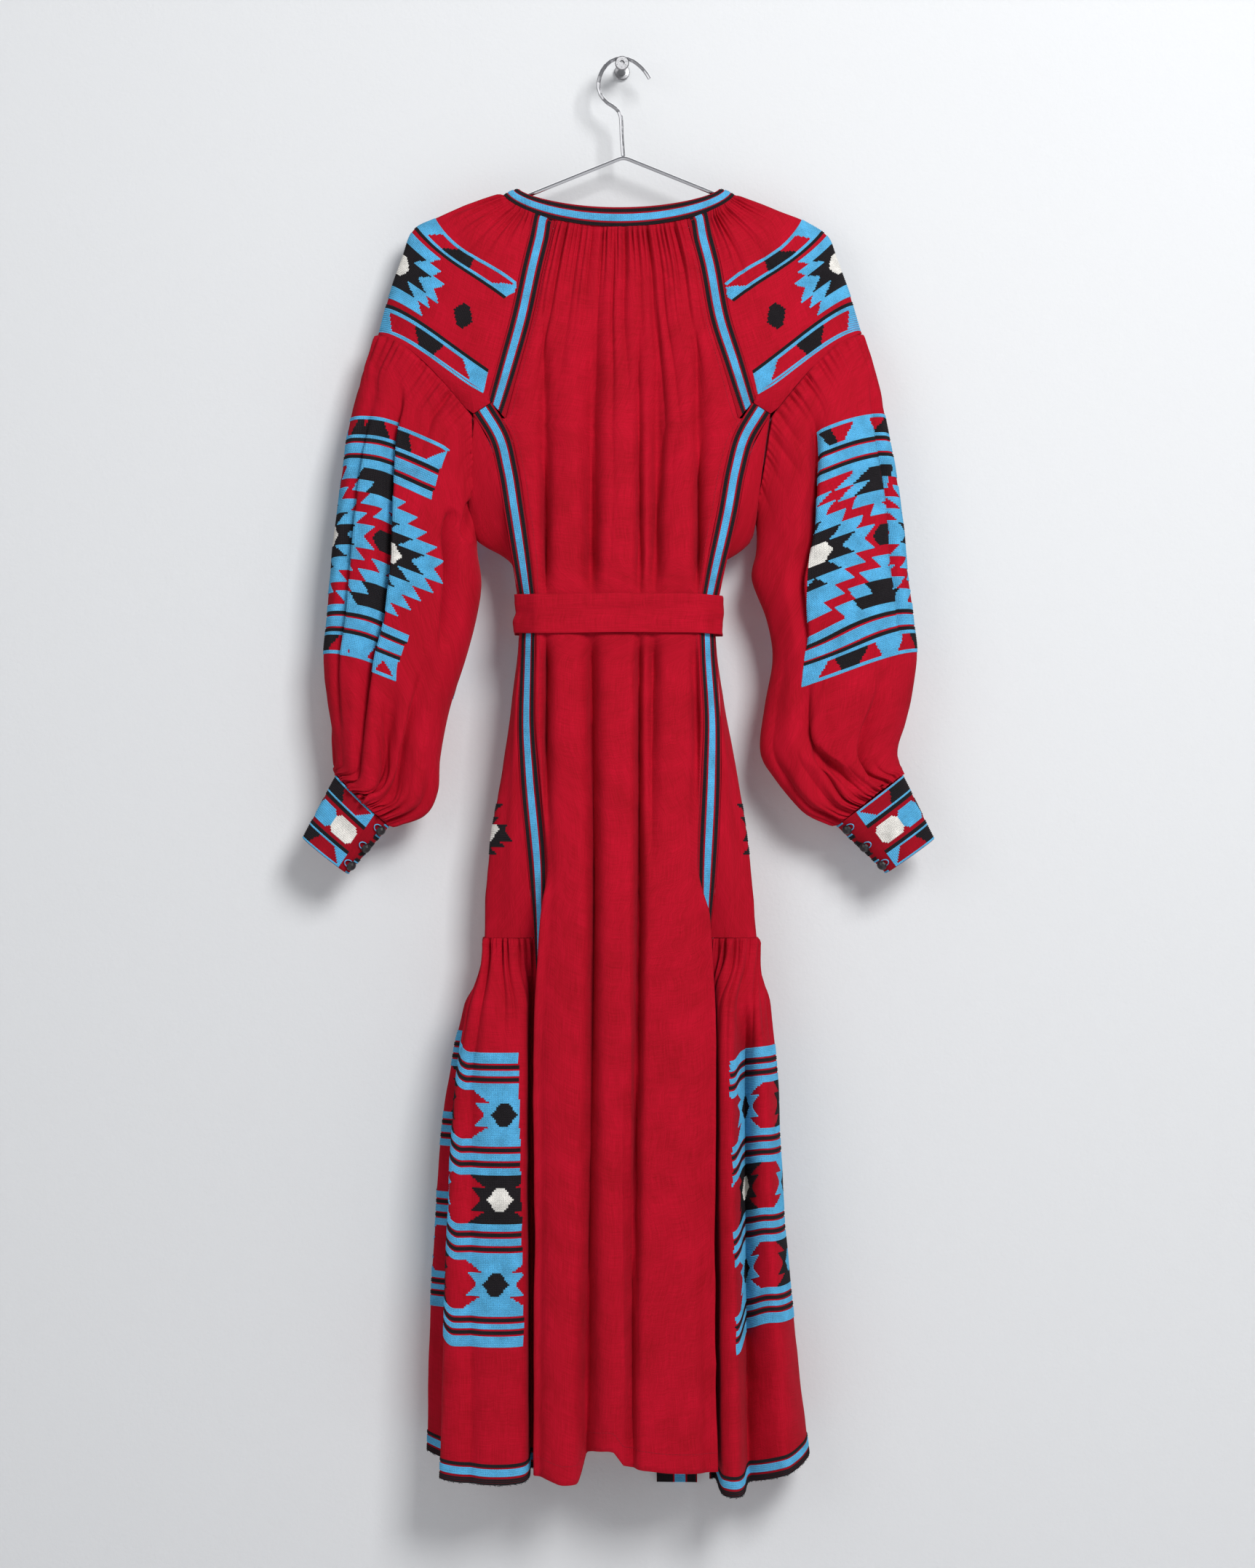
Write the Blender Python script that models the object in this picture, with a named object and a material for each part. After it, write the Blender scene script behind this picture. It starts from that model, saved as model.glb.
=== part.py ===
"""A long-sleeved embroidered folk dress on a wire hanger and a wall peg, seen from its back.

The origin is the middle of the peg's rear face, on the wall. +X is right as seen from the room,
+Y goes into the wall and +Z is up. Sizes in the tables are millimetres.
The cloth is a wall round a hollow: every panel is a surface between two seams, given a thickness.
"""

import math

import bpy
import numpy as np

for old in list(bpy.data.objects):
    bpy.data.objects.remove(old)

MM = 0.001
LINEN = 1.5
BAND = 2.0
SEAM_GAP = 0.3
TAPE_WIDTH = 22.0
TAPE_THICK = 1.8
HALF_TAPE = TAPE_WIDTH / 2
PANEL_EDGE = HALF_TAPE + SEAM_GAP
BACK, FRONT = -1, 1
LEFT, RIGHT = -1, 1
SIDES = {"left": LEFT, "right": RIGHT}

# Heights of the main levels.
COLLAR_LEVEL = -161.0
RAGLAN_FOOT = -350.4
INNER_RAGLAN_FOOT = -365.6
BELT_TOP, BELT_FOOT = -548.0, -587.0
TIER_SEAM = -897.0
TRIM_LEVEL = -1414.0
HEM = -1434.0
BAND_END = -1465.0

# Columns: level, left x, right x, back y, front y, turn of the tape towards the side in degrees.
RAGLAN = [
    (-161, -79.6, 77.4, -47.5, -20.0, 0),
    (-207, -90.5, 89.1, -59.0, -15.0, 0),
    (-267, -103.1, 100.2, -66.0, -13.0, 0),
    (-310, -114.5, 113.5, -68.5, -12.5, 0),
    (-372, -131.0, 131.0, -70.0, -12.0, 0),
]
SIDE_SEAM = [
    (-356, -143.0, 143.0, -70.0, -13.0, 5),
    (-386, -125.0, 125.1, -72.0, -14.0, 8),
    (-420, -116.0, 115.4, -74.0, -15.0, 11),
    (-460, -109.5, 108.1, -76.0, -16.0, 15),
    (-535, -98.5, 92.0, -79.0, -18.0, 36),
    (-567, -94.5, 86.5, -80.0, -20.0, 45),
    (-600, -95.0, 87.0, -80.0, -20.0, 44),
    (-683, -97.0, 91.5, -82.0, -18.0, 34),
    (-727, -94.2, 90.7, -84.0, -17.0, 24),
    (-830, -85.5, 86.5, -84.0, -17.0, 30),
    (-880, -84.0, 85.0, -80.0, -18.0, 56),
    (-940, -84.0, 85.0, -77.0, -20.0, 76),
    (-1200, -84.0, 85.0, -76.0, -20.0, 80),
    (-1434, -85.0, 88.0, -76.0, -20.0, 80),
]

# The neck is a dipping oval. Columns of its two edges: half width, rise of the ends, back dip, front dip.
NECK_X, NECK_Y, NECK_DEPTH = -3.0, -36.0, 17.0
COLLAR_FOOT = (118.0, -134.0, 35.5, 42.0)
COLLAR_CROWN = (103.0, -128.0, 22.0, 29.0)
DIP_POWER = 1.4

# Body of the panels. Columns: level, bulge of the back, bulge of the front, squareness of the section.
BULGE = [
    (-161, 4.4, 4.0, 2.0),
    (-267, 4.5, 3.0, 2.2),
    (-356, 3.0, 2.0, 2.4),
    (-460, 4.0, 2.0, 2.4),
    (-548, 3.5, 2.0, 2.4),
    (-587, 3.5, 2.0, 2.4),
    (-683, 10.0, 3.0, 2.6),
    (-830, 20.0, 4.0, 3.0),
    (-940, 22.0, 4.0, 3.6),
    (-1200, 25.0, 4.0, 4.0),
    (-1434, 30.0, 5.0, 4.0),
]

# Folds of the back panel. Columns: level, x, depth, width.
BACK_FOLDS = {
    "beside left tape": [
        (-240, -80, 0, 5), (-380, -79, 6, 6), (-505, -77.5, 8, 5),
        (-640, -76.5, 8, 5), (-830, -79, 5, 5), (-900, -80, 0, 5),
    ],
    "left recess": [
        (-240, -31, 0, 8), (-380, -31, 6, 8), (-505, -31.5, 9, 7), (-640, -31, 9, 7),
        (-830, -28.5, 13, 7), (-1005, -30, 15, 9), (-1200, -26, 19, 14), (-1434, -18, 26, 20),
    ],
    "middle pleat": [
        (-240, 17, 0, 4), (-380, 17, 5, 4), (-505, 17.7, 6, 4), (-640, 17, 7, 4),
        (-830, 17, 9, 4), (-1005, 15, 9, 4), (-1200, 12, 4, 4), (-1300, 10, 0, 4),
    ],
    "short pleat": [
        (-240, 34, 0, 6), (-380, 36, 6, 7), (-505, 34, 7, 6), (-640, 31, 6, 6),
        (-760, 30, 3, 6), (-830, 30, 0, 6),
    ],
    "beside right tape": [
        (-240, 76, 0, 5), (-380, 77, 6, 6), (-505, 77.6, 8, 5), (-640, 77, 8, 5),
        (-830, 80, 5, 5), (-900, 80, 0, 5),
    ],
}
FRONT_FOLDS = {
    "left of band": [(-240, -40, 0, 9), (-505, -40, 4, 9), (-830, -38, 6, 9), (-1434, -36, 12, 14)],
    "beside band": [(-240, 4, 0, 8), (-505, 6, 4, 8), (-830, 8, 5, 9), (-1434, 8, 8, 12)],
}
# The band down the front. Columns: level, middle x.
BAND_LINE = [(-161, 30), (-567, 45), (-830, 50), (-1434, 57)]
BAND_HALF = 21.0
# Drop of the back hem along x. Columns: x, drop.
HEM_LINE = [(-84, -2), (-62, -10), (-44, -9), (-30, 6), (-14, 13), (2, 10), (16, 0), (45, 3), (92, 1)]
FRONT_HEM_DROP = -16.0

# Shoulder ridge of an upper sleeve, from collar to smocking. Columns: step, left x, z, right x, z, bow.
RIDGE = [
    (0.00, -121.3, -134.4, 115.3, -134.4, 0),
    (0.19, -160.6, -145.4, 153.0, -147.6, -5),
    (0.37, -192.0, -158.8, 184.5, -161.0, -10),
    (0.50, -214.0, -171.0, 209.0, -174.0, -6),
    (0.66, -226.5, -202.0, 220.5, -200.0, -2),
    (0.80, -237.0, -231.0, 231.6, -230.0, 2),
    (0.93, -246.0, -262.0, 240.5, -259.0, 5),
    (1.00, -250.0, -279.0, 246.0, -277.5, 6),
]
RIDGE_Y = -37.0
ARMHOLE_BOW = 16.0

# Rings of a lower sleeve. Columns: ring, outer x, z, middle x, z, inner x, z, middle y, half depth.
LEFT_SLEEVE = [
    (0, -250.0, -279.0, -152.5, -365.0, -150.0, -465.5, -41.5, 27.5),
    (1, -263.0, -312.0, -170.0, -382.0, -149.5, -469.0, -42.0, 31.0),
    (2, -272.6, -342.4, -186.0, -400.0, -149.0, -474.0, -43.0, 34.0),
    (3, -281.6, -383.4, -204.0, -425.0, -148.5, -482.0, -44.0, 36.0),
    (4, -287.6, -428.2, -218.0, -452.0, -148.5, -492.0, -45.0, 37.0),
    (5, -293.5, -469.2, -221.0, -481.0, -148.0, -504.0, -46.0, 38.0),
    (6, -298.8, -517.7, -221.0, -522.0, -144.0, -535.0, -47.0, 38.0),
    (7, -303.2, -569.9, -225.0, -570.0, -149.0, -570.0, -48.0, 37.0),
    (8, -306.2, -607.2, -232.0, -608.0, -160.0, -612.0, -49.0, 36.0),
    (9, -302.5, -652.0, -238.0, -655.0, -176.0, -662.0, -50.0, 35.0),
    (10, -297.0, -690.0, -241.0, -698.0, -186.0, -712.0, -50.0, 33.0),
    (11, -293.5, -716.0, -243.0, -728.0, -189.0, -748.0, -50.0, 30.0),
    (12, -293.0, -724.5, -252.0, -748.0, -203.0, -772.0, -50.0, 26.0),
    (13, -292.0, -730.0, -264.0, -756.5, -238.0, -783.0, -50.0, 20.0),
]
RIGHT_SLEEVE = [
    (0, 246.0, -277.5, 152.5, -365.0, 137.0, -466.5, -41.5, 27.5),
    (1, 257.4, -309.0, 168.0, -382.0, 137.0, -470.0, -42.0, 31.0),
    (2, 266.3, -345.0, 184.0, -399.0, 137.5, -475.0, -43.0, 34.0),
    (3, 273.8, -392.0, 200.0, -428.0, 138.0, -483.0, -44.0, 36.0),
    (4, 280.0, -430.0, 209.0, -454.0, 138.0, -493.0, -45.0, 37.0),
    (5, 285.5, -472.0, 212.0, -483.0, 137.0, -505.0, -46.0, 38.0),
    (6, 290.7, -521.0, 212.0, -524.0, 133.0, -531.0, -47.0, 38.0),
    (7, 296.5, -571.0, 222.0, -571.0, 148.0, -572.0, -48.0, 37.0),
    (8, 299.9, -607.0, 227.0, -609.0, 154.0, -612.0, -49.0, 36.0),
    (9, 293.0, -657.0, 219.0, -658.0, 146.0, -660.0, -50.0, 35.0),
    (10, 282.0, -702.0, 211.0, -704.0, 141.5, -706.0, -50.0, 33.0),
    (11, 283.0, -718.0, 222.0, -728.0, 156.0, -734.0, -50.0, 30.0),
    (12, 286.0, -725.0, 238.0, -748.0, 186.0, -768.0, -50.0, 26.0),
    (13, 287.0, -730.0, 253.0, -756.5, 219.0, -782.0, -50.0, 20.0),
]
SLEEVES = {"left": LEFT_SLEEVE, "right": RIGHT_SLEEVE}
# Folds of a lower sleeve. Columns: ring, angle from its outer edge, depth, half width in degrees.
SLEEVE_FOLDS = {
    "left": {
        "long": [(0.8, 50, 0, 9), (2, 59, 9, 9), (4, 77, 14, 9), (7, 76, 15, 9), (9, 71, 12, 9),
                 (11, 62, 9, 10), (12.6, 60, 0, 10)],
        "inner": [(3, 130, 0, 10), (4, 132, 9, 10), (7, 132, 9, 10), (8, 134, 0, 10)],
        "outer": [(1.5, 32, 0, 7), (3, 35, 5, 7), (8, 36, 6, 7), (10, 34, 0, 7)],
    },
    "right": {
        "long": [(0.8, 70, 0, 9), (2, 80, 9, 9), (3.5, 102, 14, 9), (5.5, 113, 15, 9),
                 (6.8, 124, 12, 9), (8, 128, 0, 9)],
        "outer": [(1.2, 22, 0, 7), (2.5, 25, 7, 7), (6, 30, 8, 7), (8, 32, 0, 7)],
        "puff": [(8.3, 121, 0, 9), (9.5, 116, 8, 9), (11, 90, 9, 9), (12.4, 84, 0, 9)],
        "cuff": [(8.3, 55, 0, 9), (9.5, 56, 7, 9), (11.5, 57, 8, 9), (12.6, 57, 0, 9)],
    },
}

# Side panels below the underarm. Columns: level, left x, right x, y, drop of the middle.
SIDE_PANEL = [
    (-353, -150.0, 137.0, -41.5, 112.5),
    (-400, -129.0, 118.0, -44.0, 86.0),
    (-450, -113.5, 105.0, -47.0, 58.0),
    (-500, -108.0, 100.5, -49.0, 30.0),
    (-548, -103.8, 95.8, -50.0, 8.0),
    (-587, -103.8, 95.8, -50.0, 0.0),
    (-640, -110.0, 102.0, -50.0, 0.0),
    (-727, -122.0, 117.0, -50.0, 0.0),
    (-793, -133.0, 127.5, -50.0, 0.0),
    (-860, -140.0, 134.5, -50.0, 0.0),
    (-897, -141.0, 138.0, -50.0, 0.0),
]
# Side tiers as seen from above, from the back seam round to the front seam. Columns: level, then
# x, y of the valley beside the tape, near ridge, near face, near edge, side valley and far edge.
LEFT_TIER = [
    (-897, -93, -66, -97, -80, -115, -84, -136, -76, -142, -52, -138, -34),
    (-1005, -93, -57, -98, -92, -125, -97, -162, -86, -156, -56, -171, -33),
    (-1200, -93, -54, -99, -98, -135, -106, -176, -92, -165, -58, -192, -32),
    (-1434, -93, -54, -100, -103, -140, -112, -184, -96, -171, -58, -201, -30),
]
RIGHT_TIER = [
    (-897, 94, -66, 98, -80, 108, -83, 118, -78, 130, -68, 137, -44),
    (-1005, 94, -57, 99, -92, 110, -97, 121, -76, 142, -80, 153, -42),
    (-1200, 94, -54, 100, -98, 112, -104, 127, -72, 152, -84, 166, -40),
    (-1434, 94, -54, 103, -103, 120, -110, 134, -70, 168, -84, 190, -38),
]
TIERS = {"left": LEFT_TIER, "right": RIGHT_TIER}
# Drop of a tier's hem from the level, along its arc from back to front. Columns: arc, left, right.
TIER_HEM = [(0.0, -4, -14), (0.25, -10, -23), (0.45, -6, -12), (0.6, 2, 2), (0.8, 16, 14), (1.0, 0, 0)]

# Gathers that the cloth really has, by seam.
NECK_PLEATS = 26
SHOULDER_PLEATS = 20
SMOCK_PLEATS = 20
CUFF_PLEATS = 20
TIER_PLEATS = 18

WIRE = 4.0
HANGER_Y = -36.0
HANGER_APEX = (1.5, -95.3)
HANGER_SLOPE = math.radians(21.9)
HANGER_REACH = 234.0
HANGER_CORNER = 9.0
PEG_ROD, PEG_HEAD, PEG_FLANGE = 4.1, 7.25, 8.0
PEG_LENGTH, PEG_HEAD_THICK, PEG_FLANGE_THICK = 44.0, 4.2, 3.0
SOCKET, SOCKET_DEPTH = 2.6, 2.5
# Middle of the hook's wire. Columns: x, z.
HOOK = [
    (28.4, -14.4), (23.6, -7.0), (17.0, -0.4), (8.5, 5.0), (-3.0, 6.6), (-13.5, 2.2), (-21.0, -7.5),
    (-24.2, -19.0), (-22.5, -30.0), (-15.5, -39.0), (-7.0, -44.5), (-2.0, -51.0), (-0.8, -60.0),
    (-0.4, -72.0), (0.4, -84.0), (1.2, -94.0),
]
BUTTON_RADIUS, BUTTON_HEIGHT = 5.4, 4.6
BUTTON_ANGLE = 150.0
BUTTON_PLACES = (0.14, 0.5, 0.86)
CUFFS = {
    "left": {"foot outer": (-326.7, -795.2), "foot inner": (-280.5, -831.8)},
    "right": {"foot outer": (319.3, -796.0), "foot inner": (270.0, -831.0)},
}
CUFF_FOOT_DEPTH = 17.0


def finish(name, colour, roughness, metallic=0.0):
    """One plain Principled material."""
    made = bpy.data.materials.new(name)
    made.use_nodes = True
    shader = made.node_tree.nodes["Principled BSDF"]
    shader.inputs["Base Color"].default_value = (*colour, 1)
    shader.inputs["Roughness"].default_value = roughness
    shader.inputs["Metallic"].default_value = metallic
    return made


RED_LINEN = finish("red linen", (0.45, 0.008, 0.022), 0.85)
BLUE_YARN = finish("blue yarn", (0.11, 0.48, 0.77), 0.8)
BLACK_GLOSS = finish("black button", (0.01, 0.01, 0.012), 0.25)
CHROME = finish("chrome wire", (0.75, 0.75, 0.77), 0.18, 1.0)
STEEL = finish("satin steel", (0.45, 0.45, 0.46), 0.4, 1.0)


def through(table, at):
    """A table's columns read at values of its first column, on a smooth curve through its rows."""
    rows = np.array(sorted(table), float)
    key, values = rows[:, 0], rows[:, 1:]
    slopes = np.gradient(values, key, axis=0)
    at = np.clip(np.asarray(at, float), key[0], key[-1])
    i = np.clip(np.searchsorted(key, at) - 1, 0, len(key) - 2)
    step = (key[i + 1] - key[i])[..., None]
    t = (at[..., None] - key[i][..., None]) / step
    starts = (2 * t**3 - 3 * t**2 + 1) * values[i] + (t**3 - 2 * t**2 + t) * step * slopes[i]
    ends = (3 * t**2 - 2 * t**3) * values[i + 1] + (t**3 - t**2) * step * slopes[i + 1]
    return starts + ends


def unit(vectors):
    return vectors / np.linalg.norm(vectors, axis=-1, keepdims=True)


def evenly(points, count):
    """The same curve with count points, evenly spaced along it."""
    lengths = np.linalg.norm(np.diff(points, axis=0), axis=1)
    along = np.concatenate([[0], np.cumsum(lengths)])
    places = np.linspace(0, along[-1], count)
    return np.stack([np.interp(places, along, points[:, k]) for k in range(3)], axis=1)


def ramp(value, start, end):
    """0 before start, 1 past end, smooth between; start may be the larger."""
    t = np.clip((value - start) / (end - start), 0, 1)
    return t * t * (3 - 2 * t)


def squeeze(z):
    """How much of a fold is left beside the belt, which presses the cloth together."""
    middle, reach = (BELT_TOP + BELT_FOOT) / 2, 36.0
    return 1 - 0.9 * np.exp(-(((z - middle) / reach) ** 4))


class Seam:
    """The line of a taped seam and the way that its tape faces."""

    def __init__(self, table, side, face):
        self.table, self.side, self.face = table, side, face

    def line(self, z):
        left, right, back, front, _ = through(self.table, z).T
        x = left if self.side == LEFT else right
        y = back if self.face == BACK else front
        return np.stack([x, y, np.asarray(z, float)], axis=-1)

    def frame(self, z):
        """Points of the seam, directions across the tape to the panel's middle, and outward normals."""
        z = np.asarray(z, float)
        run = unit(self.line(z - 2) - self.line(z + 2))
        turn = np.radians(through(self.table, z)[..., 4] * (1.0 if self.face == BACK else 0.6))
        level = np.zeros_like(z)
        outward = np.stack([self.side * np.sin(turn), self.face * np.cos(turn), level], axis=-1)
        outward = unit(outward - (outward * run).sum(-1, keepdims=True) * run)
        across = np.stack([-self.side * np.cos(turn), self.face * np.sin(turn), level], axis=-1)
        across -= (across * run).sum(-1, keepdims=True) * run
        across = unit(across - (across * outward).sum(-1, keepdims=True) * outward)
        return self.line(z), across, outward

    def inner(self, z, reach=PANEL_EDGE):
        point, across, outward = self.frame(z)
        return point + across * reach, outward

    def outer(self, z, reach=PANEL_EDGE):
        return self.inner(z, -reach)


RAGLANS = {(s, f): Seam(RAGLAN, s, f) for s in SIDES.values() for f in (BACK, FRONT)}
SIDE_SEAMS = {(s, f): Seam(SIDE_SEAM, s, f) for s in SIDES.values() for f in (BACK, FRONT)}


def net(rows, ring):
    """Triangles between rows of points that may differ in number; a ring closes on its first point."""
    faces, start = [], 0
    for upper, lower in zip(rows, rows[1:]):
        n, m = len(upper), len(lower)
        ends = (n, m) if ring else (n - 1, m - 1)
        i = j = 0
        while i < ends[0] or j < ends[1]:
            here, under = start + i % n, start + n + j % m
            if j == ends[1] or (i < ends[0] and (i + 1) * ends[1] <= (j + 1) * ends[0]):
                i += 1
                faces.append((here, under, start + i % n))
            else:
                j += 1
                faces.append((here, under, start + n + j % m))
        start += n
    return faces


def solid(name, points, faces, material):
    mesh = bpy.data.meshes.new(name)
    mesh.from_pydata((np.asarray(points) * MM).tolist(), [], faces)
    mesh.shade_smooth()
    mesh.set_sharp_from_angle(angle=math.radians(38))
    mesh.materials.append(material)
    made = bpy.data.objects.new(name, mesh)
    bpy.context.collection.objects.link(made)
    return made


def wall(name, rows, material, thick=LINEN, ring=False, normals=None):
    """A closed wall round a surface. normals gives known normals for its end rows or end columns."""
    rows = [np.asarray(row, float) for row in rows]
    normals = normals or {}
    faces = net(rows, ring)
    points = np.concatenate(rows)
    corners = points[np.array(faces)]
    areas = np.cross(corners[:, 1] - corners[:, 0], corners[:, 2] - corners[:, 0])
    outward = np.zeros_like(points)
    for corner in range(3):
        np.add.at(outward, np.array(faces)[:, corner], areas)
    outward = unit(outward)
    starts = np.cumsum([0] + [len(row) for row in rows])
    places = {
        "left": starts[:-1],
        "right": starts[1:] - 1,
        "top": np.arange(starts[1]),
        "bottom": np.arange(starts[-2], starts[-1]),
    }
    known = {place: np.array(given) for place, given in normals.items() if given is not None}
    if sum((outward[places[place]] * given).sum() for place, given in known.items()) < 0:
        faces = [face[::-1] for face in faces]
        outward = -outward
    for place, given in known.items():
        outward[places[place]] = given
    for place in normals:
        if place not in known:
            outward[places[place]] = level(outward[places[place]])
    count = len(points)
    shell = np.concatenate([points + outward * thick / 2, points - outward * thick / 2])
    sides = set()
    for face in faces:
        sides.update(zip(face, face[1:] + face[:1]))
    rim = []
    for a, b in sorted(sides):
        if (b, a) not in sides:
            rim += [(b, a, a + count), (b, a + count, b + count)]
    inner = [tuple(k + count for k in face[::-1]) for face in faces]
    return solid(name, shell, list(faces) + inner + rim, material)


def level(normals):
    flat = normals.copy()
    flat[:, 2] = 0
    return unit(flat)


def across_panel(left, right, z, face, folds, tops):
    """One row of a front or back panel, from its left edge to its right edge, closely spaced.
    tops are the heights of the two ends of the row that is sewn to the collar."""
    _, back, front, square = np.concatenate([[z], through(BULGE, z)])
    bulge = back if face == BACK else front
    turn = np.linspace(0, math.pi, 241)
    s = -np.sign(np.cos(turn)) * np.abs(np.cos(turn)) ** (2 / square)
    swell = np.abs(np.sin(turn)) ** (2 / square)
    row = (left + right) / 2 + np.outer(s, (right - left) / 2)
    row[:, 1] += face * bulge * swell
    fade = ramp(1 - np.abs(s), 0.0, 0.12)
    for table in folds.values():
        x, depth, width = through(table, z)
        dent = depth * squeeze(z) * np.exp(-(((row[:, 0] - x) / width) ** 2))
        row[:, 1] -= face * dent * fade
    near_collar = ramp(z, -280, RAGLAN_LEVELS[0])
    seam = COLLAR_FOOT[1] - neck_dip(row[:, 0], face) - SEAM_GAP
    straight = tops[0] + (tops[1] - tops[0]) * (s + 1) / 2
    row[:, 2] += near_collar * (seam - straight) * (1 if near_collar == 1 else fade)
    near_hem = ramp(z, -1180, HEM)
    if face == BACK:
        row[:, 2] += near_hem * np.interp(row[:, 0], *zip(*HEM_LINE))
    else:
        row[:, 2] += near_hem * FRONT_HEM_DROP * fade
    return row


def zigzag(row, depth):
    """Fine gathers: every second point stands proud."""
    run = np.gradient(row, axis=0)
    out = np.cross(run, (0.0, 0.0, 1.0))
    out = unit(out)
    signs = np.where(np.arange(len(row)) % 2 == 0, -0.5, 0.5) * depth
    signs[[0, -1]] = 0
    return row + out * signs[:, None]


# Levels of the rows; pieces that meet at a seam share them.
RAGLAN_LEVELS = (-161.3, -171, -186, -208, -236, -268, -306, RAGLAN_FOOT)
SIDE_LEVELS = (-382, -410, -450, -500, -548, -587, -620, -680, -750, -830, -866, TIER_SEAM)
TIER_LEVELS = (TIER_SEAM, -912, -935, -970, -1040, -1140, -1280, TRIM_LEVEL)
BODY_LEVELS = SIDE_LEVELS + TIER_LEVELS[1:] + (HEM,)
TAPE_TOPS = (-358, -372)


def neck_dip(x, face):
    """How far the collar's lower edge hangs below its ends at x."""
    half_width, _, back_dip, front_dip = COLLAR_FOOT
    reach = np.clip(1 - ((x - NECK_X) / half_width) ** 2, 0, 1) ** (DIP_POWER / 2)
    return (back_dip if face == BACK else front_dip) * reach


def slanted(z):
    """The level of a raglan tape's inner edge, whose foot is cut along the side tape."""
    share = (z - COLLAR_LEVEL) / (RAGLAN_FOOT - COLLAR_LEVEL)
    return z + (INNER_RAGLAN_FOOT - RAGLAN_FOOT) * share**3


def panel_edges(side, face, levels):
    """Edge points and normals of a front or back panel along the raglan and the side seam."""
    points, normals = [], []
    for z in levels:
        if z >= RAGLAN_FOOT:
            point, normal = RAGLANS[side, face].inner(slanted(z))
        else:
            point, normal = SIDE_SEAMS[side, face].inner(z)
        points.append(point)
        normals.append(normal)
    return points, normals


def panel_rows(face, levels, folds, gathered, plain):
    """Rows of a whole panel: gathered rows by the collar, then plain ones."""
    lefts, left_normals = panel_edges(LEFT, face, levels)
    rights, right_normals = panel_edges(RIGHT, face, levels)
    rows = []
    gathers = {0: 1.4, 1: 2.4, 2: 2.6}
    tops = (lefts[0][2], rights[0][2])
    for k, z in enumerate(levels):
        row = across_panel(lefts[k], rights[k], z, face, folds, tops)
        row = evenly(row, gathered if k in gathers else plain)
        rows.append(zigzag(row, gathers[k]) if k in gathers else row)
    return rows, {"left": left_normals, "right": right_normals, "bottom": None}


def collar_edge(edge, angles):
    """Points of an edge of the collar; angle 0 is its right end and 90 degrees its middle back."""
    half_width, ends, back_dip, front_dip = edge
    dip = np.where(np.sin(angles) > 0, back_dip, front_dip)
    x = NECK_X + half_width * np.cos(angles)
    y = NECK_Y - NECK_DEPTH * np.sin(angles)
    return np.stack([x, y, ends - dip * np.abs(np.sin(angles)) ** DIP_POWER], axis=1)


def collar_normals(angles):
    """The way that the collar faces: outwards, tipped upwards at its two ends."""
    foot, crown = collar_edge(COLLAR_FOOT, angles), collar_edge(COLLAR_CROWN, angles)
    run = collar_edge(COLLAR_FOOT, angles + 0.01) - collar_edge(COLLAR_FOOT, angles - 0.01)
    out = unit(np.cross(run, crown - foot))
    away = foot - np.array([NECK_X, NECK_Y, foot[:, 2].mean()])
    return out * np.sign((out * away).sum(axis=1))[:, None]


def make_collar():
    angles = np.linspace(0, 2 * math.pi, 44, endpoint=False)
    foot, crown = collar_edge(COLLAR_FOOT, angles), collar_edge(COLLAR_CROWN, angles)
    facing = collar_normals(angles)
    wall("collar_band", [crown, foot], RED_LINEN, BAND, ring=True,
         normals={"top": facing, "bottom": facing})


def make_panels():
    levels = RAGLAN_LEVELS + BODY_LEVELS
    rows, normals = panel_rows(BACK, levels, BACK_FOLDS, 2 * NECK_PLEATS + 1, 28)
    wall("back_panel", rows, RED_LINEN, normals=normals)
    rows, normals = panel_rows(FRONT, levels, FRONT_FOLDS, NECK_PLEATS + 1, 11)
    wall("front_panel", rows, RED_LINEN, normals=normals)
    make_front_band(rows)


def make_front_band(rows):
    """The band down the front, made from the panel's own points, moved out."""
    lifted = []
    for row in rows[3:]:
        middle = through(BAND_LINE, row[:, 2].mean())[0]
        sides = (middle - BAND_HALF, middle + BAND_HALF)
        inside = (row[:, 0] > sides[0] + 1) & (row[:, 0] < sides[1] - 1)
        ends = [[x, np.interp(x, row[:, 0], row[:, 1]), np.interp(x, row[:, 0], row[:, 2])]
                for x in sides]
        lifted.append(np.array([ends[0], *row[inside], ends[1]]) + (0, LINEN + 0.8, 0))
    tail = lifted[-1].copy()
    tail[:, 2] = BAND_END
    wall("front_centre_band", lifted + [tail], RED_LINEN)


def make_tapes():
    for side_name, side in SIDES.items():
        for face_name, face in (("back", BACK), ("front", FRONT)):
            rows, first, last = [], [], []
            for k, z in enumerate(RAGLAN_LEVELS):
                seam = RAGLANS[side, face]
                outer, out_normal = seam.outer(z, HALF_TAPE)
                inner, in_normal = seam.inner(slanted(z), HALF_TAPE)
                if k == 0:
                    for point in (outer, inner):
                        point[2] = COLLAR_FOOT[1] - neck_dip(point[0], face) - SEAM_GAP - 0.2
                rows.append(np.array([outer, inner]))
                first.append(out_normal)
                last.append(in_normal)
            wall(f"raglan_tape_{face_name}_{side_name}", rows, BLUE_YARN, TAPE_THICK,
                 normals={"left": first, "right": last})
            rows, first, last = [], [], []
            seam = SIDE_SEAMS[side, face]
            for z in TAPE_TOPS + BODY_LEVELS:
                outer, out_normal = seam.outer(z, HALF_TAPE)
                inner, in_normal = seam.inner(z, HALF_TAPE)
                rows.append(np.array([outer, inner]))
                first.append(out_normal)
                last.append(in_normal)
            wall(f"side_tape_{face_name}_{side_name}", rows, BLUE_YARN, TAPE_THICK,
                 normals={"left": first, "right": last, "bottom": None})


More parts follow.
